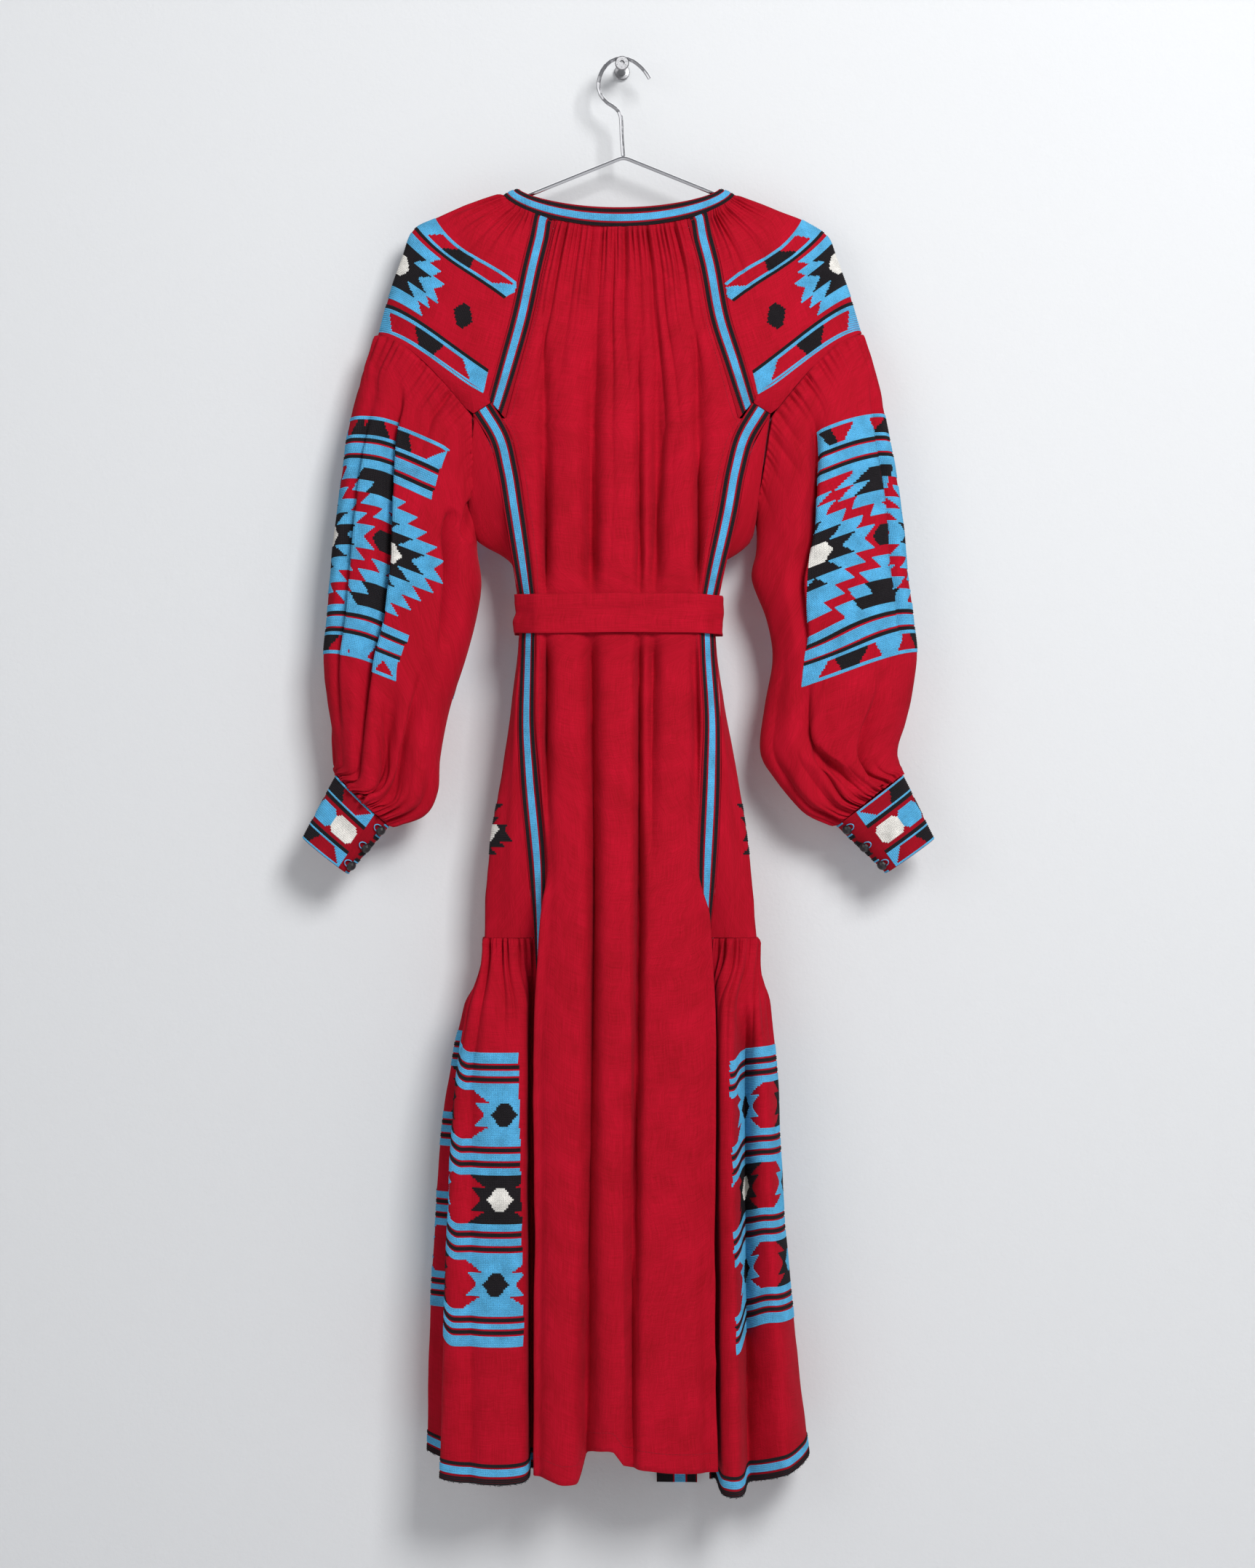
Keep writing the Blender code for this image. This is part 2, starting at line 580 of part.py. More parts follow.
def half_oval(back, outer, front, count=97):
    """From a back point round an outer point to a front point, and the turn of each place."""
    turn = np.linspace(0, math.pi, count)
    middle = (back + front) / 2
    row = middle + np.outer(np.cos(turn), back - middle) + np.outer(np.sin(turn), outer - middle)
    return row, turn


def upper_sleeve_row(side_name, side, z):
    """A row of a shoulder piece, from the back raglan over the shoulder to the front raglan."""
    step = (z - RAGLAN_LEVELS[0]) / (RAGLAN_FOOT - RAGLAN_LEVELS[0])
    back, back_normal = RAGLANS[side, BACK].outer(z)
    front, front_normal = RAGLANS[side, FRONT].outer(z)
    left_x, left_z, right_x, right_z, bow = through(RIDGE, step)
    ridge = (left_x, left_z) if side == LEFT else (right_x, right_z)
    y = NECK_Y + (RIDGE_Y - NECK_Y) * ramp(step, 0, 0.3)
    row, turn = half_oval(back, np.array([ridge[0], y, ridge[1]]), front)
    row[:, 2] += bow * np.sin(2 * turn) ** 2 * ramp(np.abs(np.cos(turn)), 0, 0.3)
    if step < 0.3:
        angles, seam = shoulder_seam(side, len(row))
        plain = half_oval(seam[0], seam[len(seam) // 2], seam[-1])[0]
        ends = ramp(np.sin(turn), 0, 0.15) if step > 0 else 1.0
        row += (ramp(step, 0.3, 0.0) * ends * (seam - plain).T).T
        if step == 0:
            row = seam
    if step == 1:
        angles = np.radians(np.linspace(90, -90, 97))
        corners = []
        for face in (BACK, FRONT):
            seam = SIDE_SEAMS[side, face]
            lift = (0, 0, 1.0)
            corners.append(seam.inner(TAPE_TOPS[0], HALF_TAPE - 1)[0] + lift)
            corners.append(seam.outer(TAPE_TOPS[0], HALF_TAPE)[0] + lift)
        row = np.concatenate([[back, corners[0], corners[1]], ring_of(side_name, 0, angles)[2:-2],
                              [corners[3], corners[2], front]])
    return row, back_normal, front_normal


def shoulder_seam(side, count):
    """Where a shoulder piece is sewn to the collar, from the back tape round to the front tape."""
    back, _ = RAGLANS[side, BACK].outer(RAGLAN_LEVELS[0])
    start = math.acos((back[0] - NECK_X) / COLLAR_FOOT[0])
    angles = np.linspace(start, 2 * math.pi * (side == LEFT) - start, count)
    foot, crown = collar_edge(COLLAR_FOOT, angles), collar_edge(COLLAR_CROWN, angles)
    return angles, foot + unit(foot - crown) * (SEAM_GAP + 0.1)


def ring_of(side_name, ring, angles):
    """A ring of a lower sleeve; angle 0 is its outer edge and 90 degrees its middle back."""
    ox, oz, mx, mz, ix, iz, y, depth = through(SLEEVES[side_name], ring)
    outward = np.cos(angles)
    arm = np.where(outward > 0, 1.0, 0.0)
    reach_x = np.where(outward > 0, ox - mx, ix - mx)
    reach_z = np.where(outward > 0, oz - mz, iz - mz)
    x = mx + reach_x * np.abs(outward)
    z = mz + reach_z * np.abs(outward)
    bow = ARMHOLE_BOW * ramp(ring, 1.5, 0.0) * np.abs(np.sin(2 * angles) * np.sin(angles)) * arm
    return np.stack([x, y - depth * np.sin(angles), z + bow], axis=-1)


def sleeve_row(side_name, ring, count):
    angles = np.radians(np.linspace(0, 360, 361))
    row = ring_of(side_name, ring, angles)
    centre = row[:-1].mean(axis=0)
    out = unit(row - centre)
    dent = np.zeros(len(angles))
    for table in SLEEVE_FOLDS[side_name].values():
        angle, depth, width = through(table, ring)
        for place, share in ((angle, 1.0), (360 - angle, 0.6)):
            away = (np.degrees(angles) - place) / width
            dent += share * depth * np.exp(-(away**2))
    row = row - out * dent[:, None]
    return evenly(row, count + 1)[:-1]


SLEEVE_RINGS = (0, 0.4, 1.1, 2.0, 3.0, 4.1, 5.3, 6.5, 7.6, 8.8, 10.0, 11.1, 12, 12.6, 13)


def ring_zigzag(row, depth):
    run = np.roll(row, -1, axis=0) - np.roll(row, 1, axis=0)
    out = row - row.mean(axis=0)
    out = unit(out - (out * unit(run)).sum(axis=1, keepdims=True) * unit(run))
    signs = np.where(np.arange(len(row)) % 2 == 0, -0.5, 0.5) * depth
    return row + out * signs[:, None]


def make_sleeves():
    for side_name, side in SIDES.items():
        rows, first, last = [], [], []
        gathers = {0: 1.2, 1: 2.2}
        for k, z in enumerate(RAGLAN_LEVELS):
            row, back_normal, front_normal = upper_sleeve_row(side_name, side, z)
            if k in gathers:
                row = evenly(row, 2 * SHOULDER_PLEATS + 1)
            else:
                row = evenly(row, 49 if z == RAGLAN_FOOT else 19)
            rows.append(zigzag(row, gathers[k]) if k in gathers else row)
            first.append(back_normal)
            last.append(front_normal)
        wall(f"upper_sleeve_{side_name}", rows, RED_LINEN, normals={"left": first, "right": last})

        rings = []
        for ring in SLEEVE_RINGS:
            if ring < 1:
                count = 2 * SMOCK_PLEATS
            elif ring > 12:
                count = 2 * CUFF_PLEATS
            else:
                count = 21
            rings.append(sleeve_row(side_name, ring, count))
        rings[0] = rings[0] + (0, 0, -SEAM_GAP - 0.3)
        rings[1] = ring_zigzag(rings[1], 2.0)
        rings[-2] = ring_zigzag(rings[-2], 2.2)
        wall(f"lower_sleeve_{side_name}", rings, RED_LINEN, ring=True)


def cuff_ring(side_name, place, count):
    """A ring of a cuff; place 0 is its seam with the sleeve and 1 its open end."""
    ox, oz, mx, mz, ix, iz, y, depth = through(SLEEVES[side_name], 13)
    foot_outer, foot_inner = (np.array(CUFFS[side_name][key]) for key in ("foot outer", "foot inner"))
    outer = np.array((ox, oz)) * (1 - place) + foot_outer * place
    inner = np.array((ix, iz)) * (1 - place) + foot_inner * place
    angles = np.radians(np.linspace(0, 360, count, endpoint=False))
    middle, reach = (outer + inner) / 2, (outer - inner) / 2
    deep = depth * (1 - place) + CUFF_FOOT_DEPTH * place
    return np.stack([middle[0] + reach[0] * np.cos(angles), y - deep * np.sin(angles),
                     middle[1] + reach[1] * np.cos(angles)], axis=1)


def make_cuffs():
    for side_name in SIDES:
        first = 1.0 / 69
        rings = [cuff_ring(side_name, place, 24) for place in (first, 0.5, 1.0)]
        wall(f"cuff_{side_name}", rings, RED_LINEN, BAND, ring=True)


def lathe(profile, turns):
    """Rings of a turned shape. Profile columns: radius, height."""
    angles = np.linspace(0, 2 * math.pi, turns, endpoint=False)
    return [np.stack([r * np.cos(angles), r * np.sin(angles), np.full(turns, h)], axis=1)
            for r, h in profile]


def turned(name, rings, place, axis, material):
    """A turned solid with closed ends, its height laid along an axis from a place."""
    axis = unit(np.array(axis, float))
    side = unit(np.cross(axis, (0.3, 0.1, 1.0)))
    frame = np.stack([side, np.cross(axis, side), axis])
    turns = len(rings[0])
    points = np.concatenate([*rings, rings[0].mean(axis=0)[None], rings[-1].mean(axis=0)[None]])
    faces = net(rings, ring=True)
    low, high = len(points) - 2, len(points) - 1
    last = turns * (len(rings) - 1)
    for k in range(turns):
        faces.append((low, k, (k + 1) % turns))
        faces.append((high, last + (k + 1) % turns, last + k))
    faces = [face[::-1] for face in faces]
    return solid(name, points @ frame + place, faces, material)


def make_buttons():
    half = BUTTON_RADIUS
    profile = [(0.62 * half, 0.0), (half, 1.1), (0.86 * half, 3.0), (0.45 * half, BUTTON_HEIGHT)]
    for side_name in SIDES:
        for number, place in enumerate(BUTTON_PLACES, 1):
            ring = cuff_ring(side_name, place, 360)
            k = int(BUTTON_ANGLE)
            run = ring[k + 1] - ring[k - 1]
            down = cuff_ring(side_name, place + 0.01, 360)[k] - ring[k]
            out = unit(np.cross(run, down))
            if (out * (ring[k] - ring.mean(axis=0))).sum() < 0:
                out = -out
            lift = BAND / 2 + SEAM_GAP + 0.35
            turned(f"cuff_button_{side_name}_{number}", lathe(profile, 10), ring[k] + out * lift,
                   out, BLACK_GLOSS)


def side_panel_row(side, z, count):
    """From the back tape round the side to the front tape; the underarm curve hangs in its middle."""
    left_x, right_x, y, drop = through(SIDE_PANEL, z)
    x = left_x if side == LEFT else right_x
    back, back_normal = SIDE_SEAMS[side, BACK].outer(z)
    front, front_normal = SIDE_SEAMS[side, FRONT].outer(z)
    row, turn = half_oval(back, np.array([x, y, z]), front)
    slow = np.sin(turn) ** (1 + ramp(z, BELT_FOOT, -500)) - np.sin(turn)
    row[:, 0] += slow * (x - (back[0] + front[0]) / 2)
    row[:, 2] -= drop * np.sin(turn) ** 2
    waves = 3.5 * ramp(z, -620, -860) * np.sin(7 * turn) * np.sin(turn)
    row[:, 0] += side * waves
    return evenly(row, count), back_normal, front_normal


def underarm_row(side_name, count):
    """The seam under the arm: the inner half of the lower sleeve's first ring."""
    angles = np.radians(np.linspace(90, 270, 97))
    row = ring_of(side_name, 0, angles)
    return evenly(row, count)


def make_side_panels():
    for side_name, side in SIDES.items():
        rows, first, last = [], [], []
        top = underarm_row(side_name, 12)
        top[:, 0] -= side * (SEAM_GAP + LINEN)
        for z in TAPE_TOPS + SIDE_LEVELS:
            row, back_normal, front_normal = side_panel_row(side, z, 12)
            if z == TAPE_TOPS[0]:
                row = top
                row[[0, -1], 0] = side * 150.2
                row[[0, -1], 2] = z - 11.0
            if z == TIER_SEAM:
                row[:, 2] += SEAM_GAP
            rows.append(row)
            first.append(back_normal)
            last.append(front_normal)
        wall(f"side_panel_{side_name}", rows, RED_LINEN,
             normals={"left": first, "right": last, "bottom": None})


def tier_row(side_name, side, z, count):
    """A row of a side tier: gathered from the side panel's edge, then falling in its own folds."""
    start = side_panel_row(side, TIER_SEAM, 161)[0]
    back, back_normal = SIDE_SEAMS[side, BACK].outer(z, PANEL_EDGE + 0.5)
    front, front_normal = SIDE_SEAMS[side, FRONT].outer(z, PANEL_EDGE + 0.5)
    plan = through(TIERS[side_name], z).reshape(-1, 2)
    plan = np.concatenate([[back[:2]], plan, [front[:2]]])
    chords = np.concatenate([[0], np.cumsum(np.sqrt(np.linalg.norm(np.diff(plan, axis=0), axis=1)))])
    knots = [(chord, *point) for chord, point in zip(chords, plan)]
    fall = through(knots, np.linspace(0, chords[-1], 321))
    fall = evenly(np.concatenate([fall, np.full((321, 1), float(z))], axis=1), 161)
    away = ramp(z, TIER_SEAM, TIER_SEAM - 70)
    share = np.linspace(0, 1, 161)[:, None]
    start += (back - start[0]) * (1 - share) + (front - start[-1]) * share
    row = start * (1 - away) + fall * away
    row[:, 2] = z
    hem = through([(a, left if side == LEFT else right) for a, left, right in TIER_HEM],
                  np.linspace(0, 1, 161))[:, 0]
    row[:, 2] += ramp(z, -1180, HEM) * hem
    return evenly(row, count), back_normal, front_normal


def make_tiers():
    for side_name, side in SIDES.items():
        gathers = {0: 1.0, 1: 2.6, 2: 3.0}
        rows, first, last = [], [], []
        for k, z in enumerate(TIER_LEVELS):
            count = 2 * TIER_PLEATS + 1 if k in gathers else 25
            row, back_normal, front_normal = tier_row(side_name, side, z, count)
            if z == TRIM_LEVEL:
                row[:, 2] += SEAM_GAP + 0.2
            rows.append(zigzag(row, gathers[k]) if k in gathers else row)
            first.append(back_normal)
            last.append(front_normal)
        wall(f"side_tier_{side_name}", rows, RED_LINEN,
             normals={"left": first, "right": last, "top": None, "bottom": None})
        rows, first, last = [], [], []
        for z in (TRIM_LEVEL, HEM):
            row, back_normal, front_normal = tier_row(side_name, side, z, 25)
            rows.append(row)
            first.append(back_normal)
            last.append(front_normal)
        wall(f"hem_trim_{side_name}", rows, RED_LINEN, TAPE_THICK,
             normals={"left": first, "right": last, "top": None, "bottom": None})


def hull(points):
    """The tight loop round points seen from above."""
    points = sorted(map(tuple, points))
    loop = []
    for order in (points, points[::-1]):
        start = len(loop)
        for point in order:
            while len(loop) - start >= 2:
                (ax, ay), (bx, by) = loop[-2], loop[-1]
                if (bx - ax) * (point[1] - ay) - (by - ay) * (point[0] - ax) > 0:
                    break
                loop.pop()
            loop.append(point)
        loop.pop()
    return np.array(loop)


def make_belt():
    """The belt is pulled tight round the waist, over the tapes and the front band."""
    found = []
    for z in np.linspace(BELT_TOP + 4, BELT_FOOT - 4, 5):
        for side in (LEFT, RIGHT):
            found.append(side_panel_row(side, z, 61)[0])
            for face in (BACK, FRONT):
                seam = SIDE_SEAMS[side, face]
                found += [seam.inner(z, HALF_TAPE)[0][None], seam.outer(z, HALF_TAPE)[0][None]]
        for face in (BACK, FRONT):
            ends = (SIDE_SEAMS[side, face].inner(z)[0] for side in (LEFT, RIGHT))
            row = across_panel(*ends, z, face, {}, (z, z))
            found.append(row + (0, (LINEN + 0.8) * (face == FRONT), 0))
    loop = hull(np.concatenate(found)[:, :2])
    loop = np.concatenate([loop, np.zeros((len(loop), 1))], axis=1)
    loop = evenly(np.concatenate([loop, loop[:1]]), 57)[:-1]
    run = np.roll(loop, -1, axis=0) - np.roll(loop, 1, axis=0)
    out = unit(np.cross(run, (0, 0, 1.0)))
    loop += out * (TAPE_THICK / 2 + BAND / 2 + SEAM_GAP + 1.1)
    rows = [loop + (0, 0, z) for z in (BELT_TOP, BELT_FOOT)]
    wall("belt", rows, RED_LINEN, BAND, ring=True)


def wire(name, places, closed, material):
    """A round wire along a smooth curve in the hanger's plane."""
    curve = bpy.data.curves.new(name, "CURVE")
    curve.dimensions = "3D"
    curve.bevel_depth = WIRE / 2 * MM
    curve.bevel_resolution = 2
    curve.use_fill_caps = not closed
    spline = curve.splines.new("POLY")
    spline.points.add(len(places) - 1)
    for point, (x, z) in zip(spline.points, places):
        point.co = (x * MM, HANGER_Y * MM, z * MM, 1)
    spline.use_cyclic_u = closed
    curve.materials.append(material)
    made = bpy.data.objects.new(name, curve)
    bpy.context.collection.objects.link(made)
    return made


def rounded(corner, before, after, radius, steps=5):
    """Points of a round corner between two straight runs."""
    corner, before, after = (np.array(p, float) for p in (corner, before, after))
    to, fro = unit(before - corner), unit(after - corner)
    half = math.acos(np.dot(to, fro)) / 2
    setback = radius / math.tan(half)
    middle = corner + unit(to + fro) * radius / math.sin(half)
    first, last = corner + to * setback - middle, corner + fro * setback - middle
    sweep = math.acos(np.clip(np.dot(first, last) / radius**2, -1, 1))
    return [middle + (math.sin((1 - t) * sweep) * first + math.sin(t * sweep) * last) / math.sin(sweep)
            for t in np.linspace(0, 1, steps)]


def make_hanger():
    apex_x, apex_z = HANGER_APEX
    end_z = apex_z - math.tan(HANGER_SLOPE) * HANGER_REACH
    corners = [(apex_x, apex_z), (apex_x + HANGER_REACH, end_z), (apex_x - HANGER_REACH, end_z)]
    radii = (14.0, HANGER_CORNER, HANGER_CORNER)
    places = []
    for k, radius in enumerate(radii):
        places += rounded(corners[k], corners[k - 1], corners[(k + 1) % 3], radius)
    wire("hanger_arms", places, True, CHROME)
    rows = [(k, x, z) for k, (x, z) in enumerate(HOOK)]
    wire("hanger_hook", through(rows, np.linspace(0, len(HOOK) - 1, 29)), False, CHROME)


def make_peg():
    """A turned steel peg: a flange on the wall, a rod and a round head with a hexagon socket."""
    turns = 18
    angles = np.linspace(0, 2 * math.pi, turns, endpoint=False)
    hexagon = SOCKET / np.cos((angles + math.pi / 6) % (math.pi / 3) - math.pi / 6)
    head = PEG_LENGTH - PEG_HEAD_THICK
    profile = [
        (PEG_FLANGE, 0.0), (PEG_FLANGE, PEG_FLANGE_THICK - 0.6), (PEG_FLANGE - 0.6, PEG_FLANGE_THICK),
        (PEG_ROD, PEG_FLANGE_THICK + 0.2), (PEG_ROD, head - 0.1), (PEG_HEAD - 0.5, head),
        (PEG_HEAD, head + 0.5), (PEG_HEAD, PEG_LENGTH - 0.8), (PEG_HEAD - 0.8, PEG_LENGTH),
    ]
    rings = lathe(profile, turns)
    for height in (PEG_LENGTH, PEG_LENGTH - SOCKET_DEPTH):
        rings.append(np.stack([hexagon * np.cos(angles), hexagon * np.sin(angles),
                               np.full(turns, height)], axis=1))
    turned("wall_peg", rings, (0, 0, 0), (0, -1, 0), STEEL)


make_collar()
make_panels()
make_tapes()
make_sleeves()
make_cuffs()
make_buttons()
make_side_panels()
make_tiers()
make_belt()
make_hanger()
make_peg()
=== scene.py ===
# %% [markdown]
# # A long-sleeved embroidered folk dress, seen from its back
#
# A red linen dress hangs by a wire hanger on a wall peg. This lesson builds its cloth again on a finer
# net than the solids have, adds gathers and creases, embroiders it stitch by stitch from charts that
# follow simple rules, and lights it like the photograph. No cloth simulation is run: the photo shows how
# this dress hangs, so its folds are written down and follow by rule. Lengths in the tables are millimetres.

# %% Tools and frame
import math

import bpy
import numpy as np
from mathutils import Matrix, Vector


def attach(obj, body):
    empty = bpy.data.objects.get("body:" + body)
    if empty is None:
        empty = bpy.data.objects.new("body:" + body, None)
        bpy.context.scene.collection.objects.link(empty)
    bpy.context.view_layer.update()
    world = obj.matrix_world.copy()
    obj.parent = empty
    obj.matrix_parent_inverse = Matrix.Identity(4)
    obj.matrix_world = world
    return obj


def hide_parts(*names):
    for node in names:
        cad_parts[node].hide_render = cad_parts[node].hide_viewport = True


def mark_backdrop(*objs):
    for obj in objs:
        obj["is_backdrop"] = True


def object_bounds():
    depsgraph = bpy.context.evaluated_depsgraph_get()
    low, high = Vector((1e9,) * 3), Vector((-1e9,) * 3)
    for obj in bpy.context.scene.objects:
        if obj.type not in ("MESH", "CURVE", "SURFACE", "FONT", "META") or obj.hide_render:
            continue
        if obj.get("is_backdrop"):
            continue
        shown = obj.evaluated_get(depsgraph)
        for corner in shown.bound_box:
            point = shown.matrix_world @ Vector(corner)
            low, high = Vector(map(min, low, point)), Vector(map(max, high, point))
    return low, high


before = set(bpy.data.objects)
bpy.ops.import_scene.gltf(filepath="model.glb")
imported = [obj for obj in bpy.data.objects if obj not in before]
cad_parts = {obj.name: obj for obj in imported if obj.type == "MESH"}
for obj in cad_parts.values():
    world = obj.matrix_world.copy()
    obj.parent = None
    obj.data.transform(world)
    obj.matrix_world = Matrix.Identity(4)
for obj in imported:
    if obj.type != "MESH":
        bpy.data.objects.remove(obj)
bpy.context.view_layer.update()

# %% [markdown]
# ## The dress's lines
#
# A dress is cut from a paper pattern and sewn along a few seams. Its shape could be sculpted by hand, but
# then it could not be changed later without doing the work again. Here each table holds one line of the
# dress, a seam, a fold or a sleeve's rings, in a few rows. Change a number and the dress follows. The
# comment above a table names its columns.

# %% Seams and neck
MM = 0.001
LINEN = 1.5
SEAM_GAP = 0.3
TAPE_WIDTH = 22.0
TAPE_THICK = 1.8
HALF_TAPE = TAPE_WIDTH / 2
PANEL_EDGE = HALF_TAPE + SEAM_GAP
BACK, FRONT = -1, 1
LEFT, RIGHT = -1, 1
SIDES = {"left": LEFT, "right": RIGHT}

# Heights of the main levels.
COLLAR_LEVEL = -161.0
RAGLAN_FOOT = -350.4
INNER_RAGLAN_FOOT = -365.6
BELT_TOP, BELT_FOOT = -548.0, -587.0
TIER_SEAM = -897.0
TRIM_LEVEL = -1414.0
HEM = -1434.0
BAND_END = -1465.0

# Columns: level, left x, right x, back y, front y, turn of the tape towards the side in degrees.
RAGLAN = [
    (-161, -79.6, 77.4, -47.5, -20.0, 0),
    (-207, -90.5, 89.1, -59.0, -15.0, 0),
    (-267, -103.1, 100.2, -66.0, -13.0, 0),
    (-310, -114.5, 113.5, -68.5, -12.5, 0),
    (-372, -131.0, 131.0, -70.0, -12.0, 0),
]
SIDE_SEAM = [
    (-356, -143.0, 143.0, -70.0, -13.0, 5),
    (-386, -125.0, 125.1, -72.0, -14.0, 8),
    (-420, -116.0, 115.4, -74.0, -15.0, 11),
    (-460, -109.5, 108.1, -76.0, -16.0, 15),
    (-535, -98.5, 92.0, -79.0, -18.0, 36),
    (-567, -94.5, 86.5, -80.0, -20.0, 45),
    (-600, -95.0, 87.0, -80.0, -20.0, 44),
    (-683, -97.0, 91.5, -82.0, -18.0, 34),
    (-727, -94.2, 90.7, -84.0, -17.0, 24),
    (-830, -85.5, 86.5, -84.0, -17.0, 30),
    (-880, -84.0, 85.0, -80.0, -18.0, 56),
    (-940, -84.0, 85.0, -77.0, -20.0, 76),
    (-1200, -84.0, 85.0, -76.0, -20.0, 80),
    (-1434, -85.0, 88.0, -76.0, -20.0, 80),
]

# The neck is a dipping oval. Columns of its two edges: half width, rise of the ends, back dip, front dip.
NECK_X, NECK_Y, NECK_DEPTH = -3.0, -36.0, 17.0
COLLAR_FOOT = (118.0, -134.0, 35.5, 42.0)
COLLAR_CROWN = (103.0, -128.0, 22.0, 29.0)
DIP_POWER = 1.4

# %% Body and folds of the panels
# Body of the panels. Columns: level, bulge of the back, bulge of the front, squareness of the section.
BULGE = [
    (-161, 4.4, 4.0, 2.0),
    (-267, 4.5, 3.0, 2.2),
    (-356, 3.0, 2.0, 2.4),
    (-460, 4.0, 2.0, 2.4),
    (-548, 3.5, 2.0, 2.4),
    (-587, 3.5, 2.0, 2.4),
    (-683, 10.0, 3.0, 2.6),
    (-830, 20.0, 4.0, 3.0),
    (-940, 22.0, 4.0, 3.6),
    (-1200, 25.0, 4.0, 4.0),
    (-1434, 30.0, 5.0, 4.0),
]

# Folds of the back panel. Columns: level, x, depth, width.
BACK_FOLDS = {
    "beside left tape": [
        (-240, -80, 0, 5), (-380, -79, 6, 6), (-505, -77.5, 8, 5),
        (-640, -76.5, 8, 5), (-830, -79, 5, 5), (-900, -80, 0, 5),
    ],
    "left recess": [
        (-240, -31, 0, 8), (-380, -31, 6, 8), (-505, -31.5, 9, 7), (-640, -31, 9, 7),
        (-830, -28.5, 12, 6), (-1005, -30, 12, 6), (-1200, -33, 12, 7), (-1434, -36, 12, 9),
    ],
    "middle pleat": [
        (-240, 17, 0, 4), (-380, 17, 5, 4), (-505, 17.7, 6, 4), (-640, 17, 7, 4),
        (-830, 17, 9, 4), (-1005, 15, 9, 4), (-1200, 12, 9, 4.5), (-1434, 8, 8, 5),
    ],
    "short pleat": [
        (-240, 34, 0, 6), (-380, 36, 6, 7), (-505, 34, 7, 6), (-640, 31, 6, 6),
        (-760, 30, 3, 6), (-830, 30, 0, 6),
    ],
    "beside right tape": [
        (-240, 76, 0, 5), (-380, 77, 6, 6), (-505, 77.6, 8, 5), (-640, 77, 8, 5),
        (-830, 80, 5, 5), (-900, 80, 0, 5),
    ],
}
FRONT_FOLDS = {
    "left of band": [(-240, -40, 0, 9), (-505, -40, 4, 9), (-830, -38, 6, 9), (-1434, -36, 12, 14)],
    "beside band": [(-240, 4, 0, 8), (-505, 6, 4, 8), (-830, 8, 5, 9), (-1434, 8, 8, 12)],
}
# The band down the front. Columns: level, middle x.
BAND_LINE = [(-161, 30), (-567, 45), (-830, 50), (-1434, 57)]
BAND_HALF = 21.0
# Drop of the back hem along x. Columns: x, drop.
HEM_LINE = [
    (-84, -2), (-62, -10), (-42, -10), (-38, 18), (-30, 23),
    (-14, 25), (-4, 23), (1, 8), (45, 3), (92, 1),
]
FRONT_HEM_DROP = 10.0

# %% Shoulder ridge and sleeve rings
# Shoulder ridge of an upper sleeve, from the collar to the lower sleeve.
# Columns: step, left x, z, right x, z, bow.
RIDGE = [
    (0.00, -121.3, -134.4, 115.3, -134.4, 0),
    (0.19, -160.6, -145.4, 153.0, -147.6, -5),
    (0.37, -192.0, -158.8, 184.5, -161.0, -10),
    (0.50, -214.0, -171.0, 209.0, -174.0, -6),
    (0.66, -226.5, -202.0, 220.5, -200.0, -2),
    (0.80, -237.0, -231.0, 231.6, -230.0, 2),
    (0.93, -246.0, -262.0, 240.5, -259.0, 5),
    (1.00, -250.0, -279.0, 246.0, -277.5, 6),
]
RIDGE_Y = -37.0
ARMHOLE_BOW = 16.0

# Rings of a lower sleeve. Columns: ring, outer x, z, middle x, z, inner x, z, middle y, half depth.
LEFT_SLEEVE = [
    (0, -250.0, -279.0, -152.5, -365.0, -150.0, -465.5, -41.5, 27.5),
    (1, -263.0, -312.0, -170.0, -382.0, -149.5, -469.0, -42.0, 31.0),
    (2, -272.6, -342.4, -186.0, -400.0, -149.0, -474.0, -43.0, 34.0),
    (3, -281.6, -383.4, -204.0, -425.0, -148.5, -482.0, -44.0, 36.0),
    (4, -287.6, -428.2, -218.0, -452.0, -148.5, -492.0, -45.0, 37.0),
    (5, -293.5, -469.2, -221.0, -481.0, -148.0, -504.0, -46.0, 38.0),
    (6, -298.8, -517.7, -221.0, -522.0, -144.0, -535.0, -47.0, 38.0),
    (7, -303.2, -569.9, -225.0, -570.0, -149.0, -570.0, -48.0, 37.0),
    (8, -306.2, -607.2, -232.0, -608.0, -160.0, -612.0, -49.0, 36.0),
    (9, -302.5, -652.0, -238.0, -655.0, -176.0, -662.0, -50.0, 35.0),
    (10, -297.0, -690.0, -241.0, -698.0, -186.0, -712.0, -50.0, 33.0),
    (11, -293.5, -716.0, -243.0, -728.0, -189.0, -748.0, -50.0, 30.0),
    (12, -293.0, -724.5, -252.0, -748.0, -203.0, -772.0, -50.0, 26.0),
    (13, -292.0, -730.0, -264.0, -756.5, -238.0, -783.0, -50.0, 20.0),
]
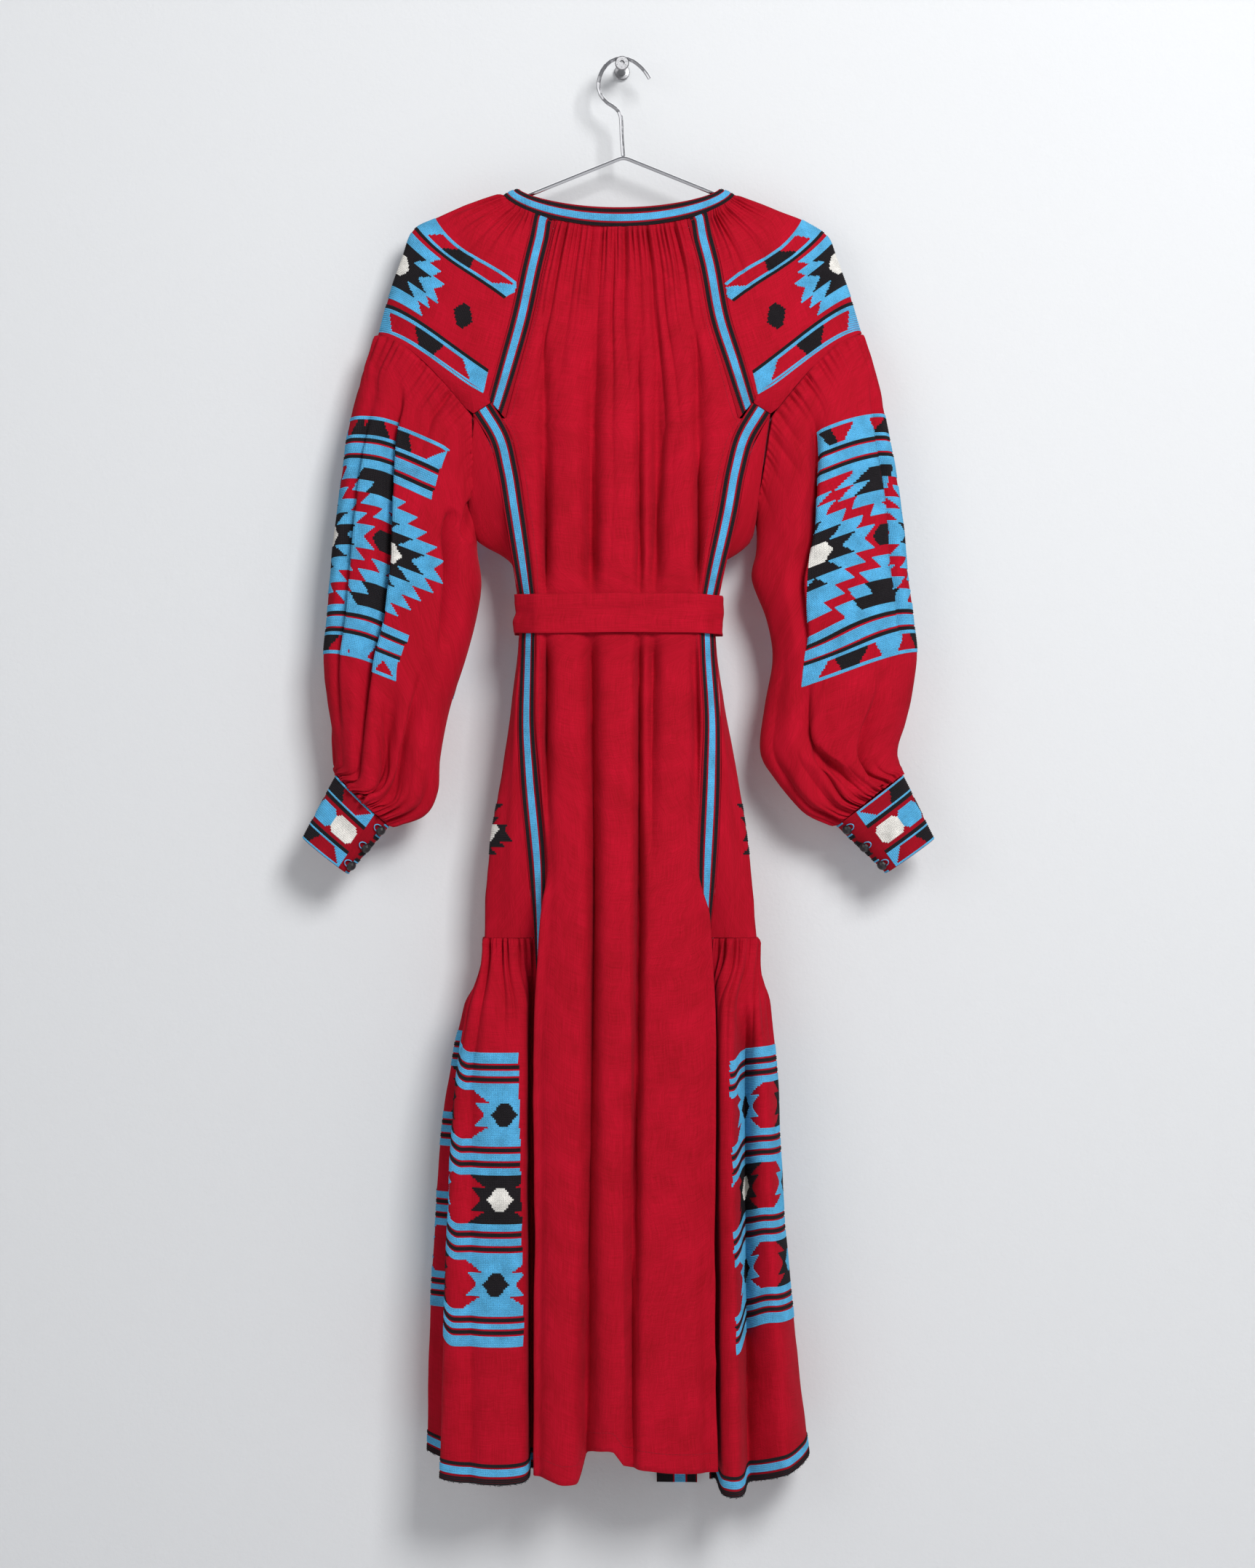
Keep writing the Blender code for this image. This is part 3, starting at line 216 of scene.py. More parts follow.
RIGHT_SLEEVE = [
    (0, 246.0, -277.5, 152.5, -365.0, 137.0, -466.5, -41.5, 27.5),
    (1, 257.4, -309.0, 168.0, -382.0, 137.0, -470.0, -42.0, 31.0),
    (2, 266.3, -345.0, 184.0, -399.0, 137.5, -475.0, -43.0, 34.0),
    (3, 273.8, -392.0, 200.0, -428.0, 138.0, -483.0, -44.0, 36.0),
    (4, 280.0, -430.0, 209.0, -454.0, 138.0, -493.0, -45.0, 37.0),
    (5, 285.5, -472.0, 212.0, -483.0, 137.0, -505.0, -46.0, 38.0),
    (6, 290.7, -521.0, 212.0, -524.0, 133.0, -531.0, -47.0, 38.0),
    (7, 296.5, -571.0, 222.0, -571.0, 148.0, -572.0, -48.0, 37.0),
    (8, 299.9, -607.0, 227.0, -609.0, 154.0, -612.0, -49.0, 36.0),
    (9, 293.0, -657.0, 219.0, -658.0, 146.0, -660.0, -50.0, 35.0),
    (10, 282.0, -702.0, 211.0, -704.0, 141.5, -706.0, -50.0, 33.0),
    (11, 283.0, -718.0, 222.0, -728.0, 156.0, -734.0, -50.0, 30.0),
    (12, 286.0, -725.0, 238.0, -748.0, 186.0, -768.0, -50.0, 26.0),
    (13, 287.0, -730.0, 253.0, -756.5, 219.0, -782.0, -50.0, 20.0),
]
SLEEVES = {"left": LEFT_SLEEVE, "right": RIGHT_SLEEVE}
# Folds of a lower sleeve. Columns: ring, angle from its outer edge, depth, half width in degrees.
SLEEVE_FOLDS = {
    "left": {
        "long": [(0.6, 48, 0, 9), (1.3, 52, 8, 9), (2, 55, 11, 9), (4, 71, 15, 9), (7, 70, 16, 9),
                 (9, 66, 14, 9), (11, 60, 10, 10), (12.6, 60, 0, 10)],
        "inner": [(3, 130, 0, 10), (4, 132, 9, 10), (7, 132, 9, 10), (8, 134, 0, 10)],
        "arm": [(0.8, 148, 0, 8), (1.6, 148, 8, 8), (3.2, 150, 10, 8), (4.6, 150, 0, 8)],
        "low": [(8.5, 95, 0, 8), (10, 92, 8, 8), (12, 88, 6, 8), (12.8, 86, 0, 8)],
        "low inner": [(8, 122, 0, 9), (9.5, 120, 8, 9), (11.5, 112, 8, 9), (12.6, 108, 0, 9)],
        "outer": [(1.5, 32, 0, 7), (3, 35, 5, 7), (8, 36, 6, 7), (10, 34, 0, 7)],
    },
    "right": {
        "long": [(0.8, 70, 0, 9), (2, 80, 9, 9), (3.5, 102, 14, 9), (5.5, 113, 15, 9),
                 (6.8, 124, 12, 9), (8, 128, 0, 9)],
        "outer": [(1.2, 22, 0, 7), (2.5, 25, 7, 7), (6, 30, 8, 7), (8, 32, 0, 7)],
        "puff": [(8.3, 121, 0, 9), (9.5, 116, 8, 9), (11, 90, 9, 9), (12.4, 84, 0, 9)],
        "cuff": [(8.3, 55, 0, 9), (9.5, 56, 7, 9), (11.5, 57, 8, 9), (12.6, 57, 0, 9)],
    },
}

# %% Sides, tiers and cuffs
# Side panels below the underarm. Columns: level, left x, right x, y, drop of the middle.
SIDE_PANEL = [
    (-353, -150.0, 137.0, -41.5, 112.5),
    (-400, -129.0, 118.0, -44.0, 86.0),
    (-450, -113.5, 105.0, -47.0, 58.0),
    (-500, -108.0, 100.5, -49.0, 30.0),
    (-548, -103.8, 95.8, -50.0, 8.0),
    (-587, -103.8, 95.8, -50.0, 0.0),
    (-640, -110.0, 102.0, -50.0, 0.0),
    (-727, -122.0, 117.0, -50.0, 0.0),
    (-793, -133.0, 127.5, -50.0, 0.0),
    (-860, -140.0, 134.5, -50.0, 0.0),
    (-897, -141.0, 138.0, -50.0, 0.0),
]
# Side tiers as seen from above, from the back seam round to the front seam. Columns: level, then
# x, y of the valley beside the tape, near ridge, near face, near edge, side valley and far edge.
LEFT_TIER = [
    (-897, -93, -66, -97, -80, -115, -84, -136, -76, -142, -52, -138, -34),
    (-1005, -93, -57, -98, -92, -125, -97, -162, -86, -156, -56, -171, -33),
    (-1200, -93, -54, -99, -98, -135, -106, -176, -92, -165, -58, -192, -32),
    (-1434, -93, -54, -100, -103, -140, -112, -184, -96, -171, -58, -201, -30),
]
RIGHT_TIER = [
    (-897, 94, -66, 98, -80, 108, -83, 118, -78, 130, -68, 137, -44),
    (-1005, 94, -57, 99, -92, 110, -97, 121, -76, 142, -80, 153, -42),
    (-1200, 94, -54, 100, -98, 112, -104, 127, -72, 152, -84, 166, -40),
    (-1434, 94, -54, 103, -103, 120, -110, 134, -70, 168, -84, 190, -38),
]
TIERS = {"left": LEFT_TIER, "right": RIGHT_TIER}
# Drop of a tier's hem from the level, along its arc from back to front. Columns: arc, left, right.
TIER_HEM = [(0.0, -4, -14), (0.25, -10, -23), (0.45, -6, -12), (0.6, 2, 2), (0.8, 16, 14), (1.0, 0, 0)]

# Level of the first row below the collar, and levels where the side tapes and the side panels start.
NECK_SEAM = -161.3
TAPE_TOP, SIDE_TOP = -358, -372
# Where the buttons stand round a cuff, in degrees from its outer edge.
BUTTON_ANGLE = 150.0
CUFFS = {
    "left": {"foot outer": (-326.7, -795.2), "foot inner": (-280.5, -831.8)},
    "right": {"foot outer": (319.3, -796.0), "foot inner": (270.0, -831.0)},
}
CUFF_FOOT_DEPTH = 17.0

print("lines of the dress:", len(RAGLAN) + len(SIDE_SEAM), "seam rows and", len(BACK_FOLDS), "back folds")

# %% [markdown]
# ## Reading the tables
#
# The edge of a piece of cloth is a smooth curve between the points that were measured. Blender's curve
# objects could hold such lines, but a function can be asked at any level. `through` reads a table on a
# smooth curve through its rows. On the dress a striped tape covers each long seam, and `Seam` turns the
# seam's line into the two edges of that tape.

# %% Curves through a table
def through(table, at):
    """A table's columns read at values of its first column, on a smooth curve through its rows."""
    rows = np.array(sorted(table), float)
    key, values = rows[:, 0], rows[:, 1:]
    slopes = np.gradient(values, key, axis=0)
    at = np.clip(np.asarray(at, float), key[0], key[-1])
    i = np.clip(np.searchsorted(key, at) - 1, 0, len(key) - 2)
    step = (key[i + 1] - key[i])[..., None]
    t = (at[..., None] - key[i][..., None]) / step
    starts = (2 * t**3 - 3 * t**2 + 1) * values[i] + (t**3 - 2 * t**2 + t) * step * slopes[i]
    ends = (3 * t**2 - 2 * t**3) * values[i + 1] + (t**3 - t**2) * step * slopes[i + 1]
    return starts + ends


def unit(vectors):
    return vectors / np.linalg.norm(vectors, axis=-1, keepdims=True)


def at_lengths(points, lengths, places):
    """Points of a line at places along it; lengths say how far along each of its points is."""
    return np.stack([np.interp(places, lengths, points[:, k]) for k in range(3)], axis=1)


def evenly(points, count):
    """The same curve with count points, evenly spaced along it."""
    steps = np.linalg.norm(np.diff(points, axis=0), axis=1)
    lengths = np.concatenate([[0], np.cumsum(steps)])
    return at_lengths(points, lengths, np.linspace(0, lengths[-1], count))


def ramp(value, start, end):
    """0 before start, 1 past end, smooth between; start may be the larger."""
    t = np.clip((value - start) / (end - start), 0, 1)
    return t * t * (3 - 2 * t)


def squeeze(z):
    """How much of a fold is left beside the belt, which presses the cloth together."""
    middle, reach = (BELT_TOP + BELT_FOOT) / 2, 36.0
    return 1 - 0.9 * np.exp(-(((z - middle) / reach) ** 4))


# %% Taped seams
class Seam:
    """The line of a taped seam and the way that its tape faces."""

    def __init__(self, table, side, face):
        self.table, self.side, self.face = table, side, face

    def line(self, z):
        left, right, back, front, _ = through(self.table, z).T
        x = left if self.side == LEFT else right
        y = back if self.face == BACK else front
        return np.stack([x, y, np.asarray(z, float)], axis=-1)

    def across(self, z):
        """Directions across the tape, towards the middle of the panel beside it."""
        z = np.asarray(z, float)
        run = unit(self.line(z - 2) - self.line(z + 2))
        turn = np.radians(through(self.table, z)[..., 4] * (1.0 if self.face == BACK else 0.6))
        level = np.zeros_like(z)
        outward = np.stack([self.side * np.sin(turn), self.face * np.cos(turn), level], axis=-1)
        outward = unit(outward - (outward * run).sum(-1, keepdims=True) * run)
        across = np.stack([-self.side * np.cos(turn), self.face * np.sin(turn), level], axis=-1)
        across -= (across * run).sum(-1, keepdims=True) * run
        return unit(across - (across * outward).sum(-1, keepdims=True) * outward)

    def inner(self, z, reach=PANEL_EDGE):
        """Points beside the seam, on the panel's side."""
        return self.line(z) + self.across(z) * reach

    def outer(self, z, reach=PANEL_EDGE):
        """Points beside the seam, away from the panel."""
        return self.inner(z, -reach)


RAGLANS = {(s, f): Seam(RAGLAN, s, f) for s in SIDES.values() for f in (BACK, FRONT)}
SIDE_SEAMS = {(s, f): Seam(SIDE_SEAM, s, f) for s in SIDES.values() for f in (BACK, FRONT)}

print(len(RAGLANS) + len(SIDE_SEAMS), "taped seams")

# %% [markdown]
# ## Rows of each piece
#
# Each piece is wide at some levels and narrow at others, and its folds come and go. A row is a curve across
# a piece at one level. Rows could be drawn as curves and skinned, but rows from a function can lie as close
# as the folds need. The functions below give the rows of the panels, the sleeves, the sides and the tiers.

# %% Rows of the panels
def across_panel(left, right, z, face, folds, tops):
    """One row of a front or back panel, from its left edge to its right edge, closely spaced.
    tops are the heights of the two ends of the row that is sewn to the collar."""
    _, back, front, square = np.concatenate([[z], through(BULGE, z)])
    bulge = back if face == BACK else front
    turn = np.linspace(0, math.pi, 241)
    s = -np.sign(np.cos(turn)) * np.abs(np.cos(turn)) ** (2 / square)
    swell = np.abs(np.sin(turn)) ** (2 / square)
    row = (left + right) / 2 + np.outer(s, (right - left) / 2)
    row[:, 1] += face * bulge * swell
    fade = ramp(1 - np.abs(s), 0.0, 0.12)
    for table in folds.values():
        x, depth, width = through(table, z)
        dent = depth * squeeze(z) * np.exp(-(np.abs((row[:, 0] - x) / width) ** 1.4))
        row[:, 1] -= face * dent * fade
    near_collar = ramp(z, -280, NECK_SEAM)
    seam = COLLAR_FOOT[1] - neck_dip(row[:, 0], face) - SEAM_GAP
    straight = tops[0] + (tops[1] - tops[0]) * (s + 1) / 2
    row[:, 2] += near_collar * (seam - straight) * (1 if near_collar == 1 else fade)
    near_hem = ramp(z, -1180, HEM)
    if face == BACK:
        drops = [np.interp(row[:, 0] + shift, *zip(*HEM_LINE)) for shift in (-3, -1.5, 0, 1.5, 3)]
        row[:, 2] += near_hem * np.mean(drops, axis=0)
    else:
        row[:, 2] += near_hem * FRONT_HEM_DROP * fade
    return row


def neck_dip(x, face):
    """How far the collar's lower edge hangs below its ends at x."""
    half_width, _, back_dip, front_dip = COLLAR_FOOT
    reach = np.clip(1 - ((x - NECK_X) / half_width) ** 2, 0, 1) ** (DIP_POWER / 2)
    return (back_dip if face == BACK else front_dip) * reach


def slanted(z):
    """The level of a raglan tape's inner edge, whose foot is cut along the side tape."""
    share = (z - COLLAR_LEVEL) / (RAGLAN_FOOT - COLLAR_LEVEL)
    return z + (INNER_RAGLAN_FOOT - RAGLAN_FOOT) * share**3


# %% Collar edge and shoulder seam
def collar_edge(edge, angles):
    """Points of an edge of the collar; angle 0 is its right end and 90 degrees its middle back."""
    half_width, ends, back_dip, front_dip = edge
    dip = np.where(np.sin(angles) > 0, back_dip, front_dip)
    x = NECK_X + half_width * np.cos(angles)
    y = NECK_Y - NECK_DEPTH * np.sin(angles)
    return np.stack([x, y, ends - dip * np.abs(np.sin(angles)) ** DIP_POWER], axis=1)


def half_oval(back, outer, front, count=97):
    """From a back point round an outer point to a front point, and the turn of each place."""
    turn = np.linspace(0, math.pi, count)
    middle = (back + front) / 2
    row = middle + np.outer(np.cos(turn), back - middle) + np.outer(np.sin(turn), outer - middle)
    return row, turn


def shoulder_seam(side, count):
    """Where a shoulder piece is sewn to the collar, from the back tape round to the front tape."""
    back = RAGLANS[side, BACK].outer(NECK_SEAM)
    start = math.acos((back[0] - NECK_X) / COLLAR_FOOT[0])
    angles = np.linspace(start, 2 * math.pi * (side == LEFT) - start, count)
    foot, crown = collar_edge(COLLAR_FOOT, angles), collar_edge(COLLAR_CROWN, angles)
    return foot + unit(foot - crown) * (SEAM_GAP + 0.1)


# %% Rows of the sleeves and cuffs
def upper_sleeve_row(side_name, side, z):
    """A row of a shoulder piece, from the back raglan over the shoulder to the front raglan."""
    step = (z - NECK_SEAM) / (RAGLAN_FOOT - NECK_SEAM)
    back, front = RAGLANS[side, BACK].outer(z), RAGLANS[side, FRONT].outer(z)
    left_x, left_z, right_x, right_z, bow = through(RIDGE, step)
    ridge = (left_x, left_z) if side == LEFT else (right_x, right_z)
    y = NECK_Y + (RIDGE_Y - NECK_Y) * ramp(step, 0, 0.3)
    row, turn = half_oval(back, np.array([ridge[0], y, ridge[1]]), front)
    row[:, 2] += bow * np.sin(2 * turn) ** 2 * ramp(np.abs(np.cos(turn)), 0, 0.3)
    if step < 0.3:
        seam = shoulder_seam(side, len(row))
        plain = half_oval(seam[0], seam[len(seam) // 2], seam[-1])[0]
        ends = ramp(np.sin(turn), 0, 0.15) if step > 0 else 1.0
        row += (ramp(step, 0.3, 0.0) * ends * (seam - plain).T).T
        if step == 0:
            row = seam
    if step == 1:
        angles = np.radians(np.linspace(90, -90, 97))
        corners = []
        for face in (BACK, FRONT):
            seam = SIDE_SEAMS[side, face]
            lift = (0, 0, 1.0)
            corners.append(seam.inner(TAPE_TOP, HALF_TAPE - 1) + lift)
            corners.append(seam.outer(TAPE_TOP, HALF_TAPE) + lift)
        row = np.concatenate([[back, corners[0], corners[1]], ring_of(side_name, 0, angles)[2:-2],
                              [corners[3], corners[2], front]])
    return row


def ring_of(side_name, ring, angles):
    """A ring of a lower sleeve; angle 0 is its outer edge and 90 degrees its middle back."""
    ox, oz, mx, mz, ix, iz, y, depth = through(SLEEVES[side_name], ring)
    outward = np.cos(angles)
    arm = np.where(outward > 0, 1.0, 0.0)
    reach_x = np.where(outward > 0, ox - mx, ix - mx)
    reach_z = np.where(outward > 0, oz - mz, iz - mz)
    x = mx + reach_x * np.abs(outward)
    z = mz + reach_z * np.abs(outward)
    bow = ARMHOLE_BOW * ramp(ring, 1.5, 0.0) * np.abs(np.sin(2 * angles) * np.sin(angles)) * arm
    return np.stack([x, y - depth * np.sin(angles), z + bow], axis=-1)


def cuff_ring(side_name, place, count):
    """A ring of a cuff; place 0 is its seam with the sleeve and 1 its open end."""
    ox, oz, mx, mz, ix, iz, y, depth = through(SLEEVES[side_name], 13)
    foot_outer, foot_inner = (np.array(CUFFS[side_name][key]) for key in ("foot outer", "foot inner"))
    outer = np.array((ox, oz)) * (1 - place) + foot_outer * place
    inner = np.array((ix, iz)) * (1 - place) + foot_inner * place
    angles = np.radians(np.linspace(0, 360, count, endpoint=False))
    middle, reach = (outer + inner) / 2, (outer - inner) / 2
    deep = depth * (1 - place) + CUFF_FOOT_DEPTH * place
    return np.stack([middle[0] + reach[0] * np.cos(angles), y - deep * np.sin(angles),
                     middle[1] + reach[1] * np.cos(angles)], axis=1)


# %% Rows of the sides
def side_panel_row(side, z, count):
    """From the back tape round the side to the front tape; the underarm curve hangs in its middle."""
    left_x, right_x, y, drop = through(SIDE_PANEL, z)
    x = left_x if side == LEFT else right_x
    back, front = SIDE_SEAMS[side, BACK].outer(z), SIDE_SEAMS[side, FRONT].outer(z)
    row, turn = half_oval(back, np.array([x, y, z]), front)
    slow = np.sin(turn) ** (1 + ramp(z, BELT_FOOT, -500)) - np.sin(turn)
    row[:, 0] += slow * (x - (back[0] + front[0]) / 2)
    row[:, 2] -= drop * np.sin(turn) ** 2
    waves = 3.5 * ramp(z, -620, -860) * np.sin(7 * turn) * np.sin(turn)
    row[:, 0] += side * waves
    return evenly(row, count)


def underarm_row(side_name, count):
    """The seam under the arm: the inner half of the lower sleeve's first ring."""
    return evenly(ring_of(side_name, 0, np.radians(np.linspace(90, 270, 97))), count)


print("an underarm seam has", len(underarm_row("left", 60)), "points")

# %% Rows of the tiers and a hull
# Points of a tier's row before it is made even.
TIER_POINTS = 161


def tier_row(side_name, side, z, count):
    """A row of a side tier: gathered from the side panel's edge, then falling in its own folds."""
    start = side_panel_row(side, TIER_SEAM, TIER_POINTS)
    back, front = (SIDE_SEAMS[side, face].outer(z, PANEL_EDGE + 0.5) for face in (BACK, FRONT))
    plan = through(TIERS[side_name], z).reshape(-1, 2)
    plan = np.concatenate([[back[:2]], plan, [front[:2]]])
    roots = np.sqrt(np.linalg.norm(np.diff(plan, axis=0), axis=1))
    chords = np.concatenate([[0], np.cumsum(roots)])
    knots = [(chord, *point) for chord, point in zip(chords, plan)]
    fall = through(knots, np.linspace(0, chords[-1], 321))
    fall = evenly(np.concatenate([fall, np.full((321, 1), float(z))], axis=1), TIER_POINTS)
    away = ramp(z, TIER_SEAM, TIER_SEAM - 70)
    share = np.linspace(0, 1, TIER_POINTS)[:, None]
    start += (back - start[0]) * (1 - share) + (front - start[-1]) * share
    row = start * (1 - away) + fall * away
    row[:, 2] = z
    hem = through([(a, left if side == LEFT else right) for a, left, right in TIER_HEM],
                  np.linspace(0, 1, TIER_POINTS))[:, 0]
    row[:, 2] += ramp(z, -1180, HEM) * hem
    return evenly(row, count)


def hull(points):
    """The tight loop round points seen from above."""
    points = sorted(map(tuple, points))
    loop = []
    for order in (points, points[::-1]):
        start = len(loop)
        for point in order:
            while len(loop) - start >= 2:
                (ax, ay), (bx, by) = loop[-2], loop[-1]
                if (bx - ax) * (point[1] - ay) - (by - ay) * (point[0] - ax) > 0:
                    break
                loop.pop()
            loop.append(point)
        loop.pop()
    return np.array(loop)


print("row functions are ready")

# %% [markdown]
# ## Nets of points
#
# Linen keeps soft creases, and it stands in rounded ridges where it is gathered into a seam. A cloth
# simulation could fold it, but it would move the outline away from the photo and the embroidery with it.
# So each piece is a grid of points, rows down the piece and columns across it, and seeded noise and rounded
# ridges push the points along the cloth's normals. The same seed gives the same dress each time.

# %% Noise, normals and creases
TABLE = np.random.default_rng(7).random(4096)


def noise(points, size, seed):
    """Smooth noise from -1 to 1 at points; size is its grain along x, y and z."""
    place = points / np.array(size, float)
    cell = np.floor(place).astype(int)
    t = place - cell
    t = t * t * (3 - 2 * t)
    total = np.zeros(points.shape[:-1])
    for corner in np.ndindex(2, 2, 2):
        at = cell + np.array(corner)
        key = (at[..., 0] * 7919) ^ (at[..., 1] * 10007) ^ (at[..., 2] * 31337) ^ (seed * 613)
        share = np.prod(np.where(np.array(corner) == 1, t, 1 - t), axis=-1)
        total += share * TABLE[key & 4095]
    return 2 * total - 1


def normals_of(grid, hint):
    """Unit normals of a grid; hint is a direction, or directions, that they should lean towards."""
    down, across = np.gradient(grid, axis=0), np.gradient(grid, axis=1)
    facing = np.cross(across, down)
    facing /= np.maximum(np.linalg.norm(facing, axis=-1, keepdims=True), 1e-9)
    return facing * (1 if (facing * hint).sum() > 0 else -1)


def outwards(grid):
    """Directions from the middle of each ring of a closed grid to its points."""
    return grid - grid.mean(axis=1, keepdims=True)


def off_edges(columns, reach):
    """For each column, 0 at the two side edges of a grid and 1 from a share of its breadth on."""
    place = np.linspace(0, 1, columns)
    return ramp(np.minimum(place, 1 - place), 0, reach)


def swell(grid, hint, amount):
    """Moves a grid along its normals."""
    return grid + normals_of(grid, hint) * amount[..., None]


def creased(grid, hint, depth, seed):
    """Soft hanging creases and small crumples of linen, none at the grid's two side edges."""
    long_folds = noise(grid, (26, 40, 190), seed) * 1.5
    crumples = (0.5 - np.abs(noise(grid, (34, 34, 52), seed + 1))) * 1.3
    fine = noise(grid, (9, 12, 17), seed + 2) * 0.28
    return swell(grid, hint, (long_folds + crumples + fine) * depth * off_edges(grid.shape[1], 0.06))


print("noise of the first corner:", round(float(noise(np.zeros((1, 3)) + 0.5, (3, 3, 3), 1)[0]), 3))

# %% [markdown]
# ### Back and front panels
#
# The two panels run from the gathered collar to the hem and hang in a few long folds below the belt. The
# folds could be sculpted, but each is a dent in the rows with a depth and a width at each level, so it
# starts, widens and ends where the table says. Low down, the back panel falls over the tapes beside it.

# %% Gathers, smoothing and overhang
PANEL_TOP = np.linspace(NECK_SEAM, RAGLAN_FOOT, 52)
PANEL_SIDE = np.linspace(-374, HEM, 176)


def panel_edge(side, face, z):
    if z >= RAGLAN_FOOT:
        return RAGLANS[side, face].inner(slanted(z))
    return SIDE_SEAMS[side, face].inner(z)


def gathers(drop, place, pleats, height, reach, seed):
    """Rounded ridges of cloth gathered along a seam; drop is how far each row hangs below it."""
    spot = np.stack([place * 100, 0 * place, 0 * place], 1)
    drift = noise(spot, (7, 1, 1), seed)
    each = 0.65 + 0.35 * noise(spot, (100 / pleats, 1, 1), seed + 1)
    length = reach * (0.7 + 0.4 * noise(spot, (130 / pleats, 1, 1), seed + 2))
    wave = 2 * np.abs(np.sin(math.pi * (pleats * place + 0.45 * drift))) ** 0.8 - 1.2
    fall = np.exp(-((np.maximum(drop, 0)[:, None] / length) ** 1.6))
    return height * ramp(drop, -1, 5)[:, None] * fall * each * wave


def smoothed(grid, first, last, passes):
    """Evens out the rows between first and last, but not the side edges."""
    share = off_edges(grid.shape[1], 0.05)[:, None]
    for _ in range(passes):
        middle = grid[first:last]
        mean = (grid[first - 1:last - 1] + middle * 2 + grid[first + 1:last + 1]) / 4
        grid[first:last] = middle + (mean - middle) * share
    return grid


def overhung(grid, levels, reaches, forward):
    """Low down, the panel's two sides fall over the tapes beside them."""
    place = np.linspace(0, 1, grid.shape[1])
    low = ramp(levels, -818, -880)
    for side, away, reach in ((LEFT, place, reaches[0]), (RIGHT, 1 - place, reaches[1])):
        bump = np.outer(low, np.exp(-(((away - 0.03) / 0.019) ** 2)) * ramp(away, 0, 0.02))
        grid[..., 0] += side * reach * bump
        grid[..., 1] -= forward * bump
    return np.array([evenly(row, len(row)) for row in grid])


print("a panel has", len(PANEL_TOP) + len(PANEL_SIDE), "rows")

# %% Panel nets
def panel_grid(face, folds, count, pleats):
    """A whole panel, gathered at the collar."""
    levels = np.concatenate([PANEL_TOP, PANEL_SIDE])
    deeper = 2.6 if face == BACK else 1.0
    folds = {name: [(z, x, min(depth * deeper, depth + 13), width) for z, x, depth, width in table]
             for name, table in folds.items()}
    edges = [(panel_edge(LEFT, face, z), panel_edge(RIGHT, face, z)) for z in levels]
    tops = (edges[0][0][2], edges[0][1][2])
    grid = np.array([evenly(across_panel(left, right, z, face, folds, tops), count)
                     for z, (left, right) in zip(levels, edges)])
    hint = (0, face, 0)
    place = np.linspace(0, 1, count)
    grid = smoothed(grid, len(PANEL_TOP) - 9, len(PANEL_TOP) + 9, 60)
    if face == BACK:
        grid = overhung(grid, levels, (5.5, 11), 5)
    if face == FRONT:
        belted = np.exp(-(((levels - (BELT_TOP + BELT_FOOT) / 2) / 30) ** 4))
        grid[..., 1] -= np.outer(belted, 3.4 * off_edges(count, 0.2))
    waves = gathers(NECK_SEAM - levels, place, pleats, 5.4, 74, 12)
    waves += gathers(NECK_SEAM - levels, place, 9, 4.2, 250, 16)
    grid = creased(grid, hint, 1.15, 11 if face == BACK else 31)
    return swell(grid, hint, waves * off_edges(count, 0.05)), hint


back_grid, back_hint = panel_grid(BACK, BACK_FOLDS, 206, 23)
front_grid, front_hint = panel_grid(FRONT, FRONT_FOLDS, 88, 26)
print("back panel:", back_grid.shape, "front panel:", front_grid.shape)

# %% [markdown]
# ### Sleeves
#
# A raglan sleeve is cut with the shoulder, and this one has two pieces. The shoulder piece runs from the back
# raglan over the shoulder to the front raglan. The full lower sleeve is gathered into it and again into the
# cuff. It could be a bent cylinder, but a stack of rings can be wide at the elbow and still meet its seams.
# Its columns start and end under the arm, where the embroidery ends too.

# %% Sleeve nets
SHOULDER_COLUMNS, SLEEVE_COLUMNS = 150, 305


def upper_sleeve_grid(side_name, side):
    levels = np.linspace(NECK_SEAM, RAGLAN_FOOT, 64)
    grid = np.array([evenly(upper_sleeve_row(side_name, side, z), SHOULDER_COLUMNS) for z in levels])
    hint = (side, 0, 0.4)
    place = np.linspace(0, 1, SHOULDER_COLUMNS)
    drop = NECK_SEAM - levels
    waves = gathers(drop, place, 24, 4.4, 42, 52 + side) + gathers(drop, place, 10, 3.6, 72, 57 + side)
    grid = creased(grid, hint, 0.6, 51 + side)
    return swell(grid, hint, waves * off_edges(SHOULDER_COLUMNS, 0.06)), hint


def sleeve_ring(side_name, ring, angles):
    """A ring of a lower sleeve with its long folds; angles run from -180 to 180 degrees."""
    row = ring_of(side_name, ring, np.radians(angles))
    out = unit(row - row.mean(axis=0))
    dent = np.zeros(len(angles))
    for kind, table in SLEEVE_FOLDS[side_name].items():
        angle, depth, width = through(table, ring)
        deep, narrow = (1.5, 0.5) if kind == "long" else (1.6, 0.7)
        for place, share, wide in ((angle, deep, narrow), (-angle, 0.7, 0.9)):
            dent += share * depth * np.exp(-(((angles - place) / (wide * width)) ** 2))
    return row - out * dent[:, None]


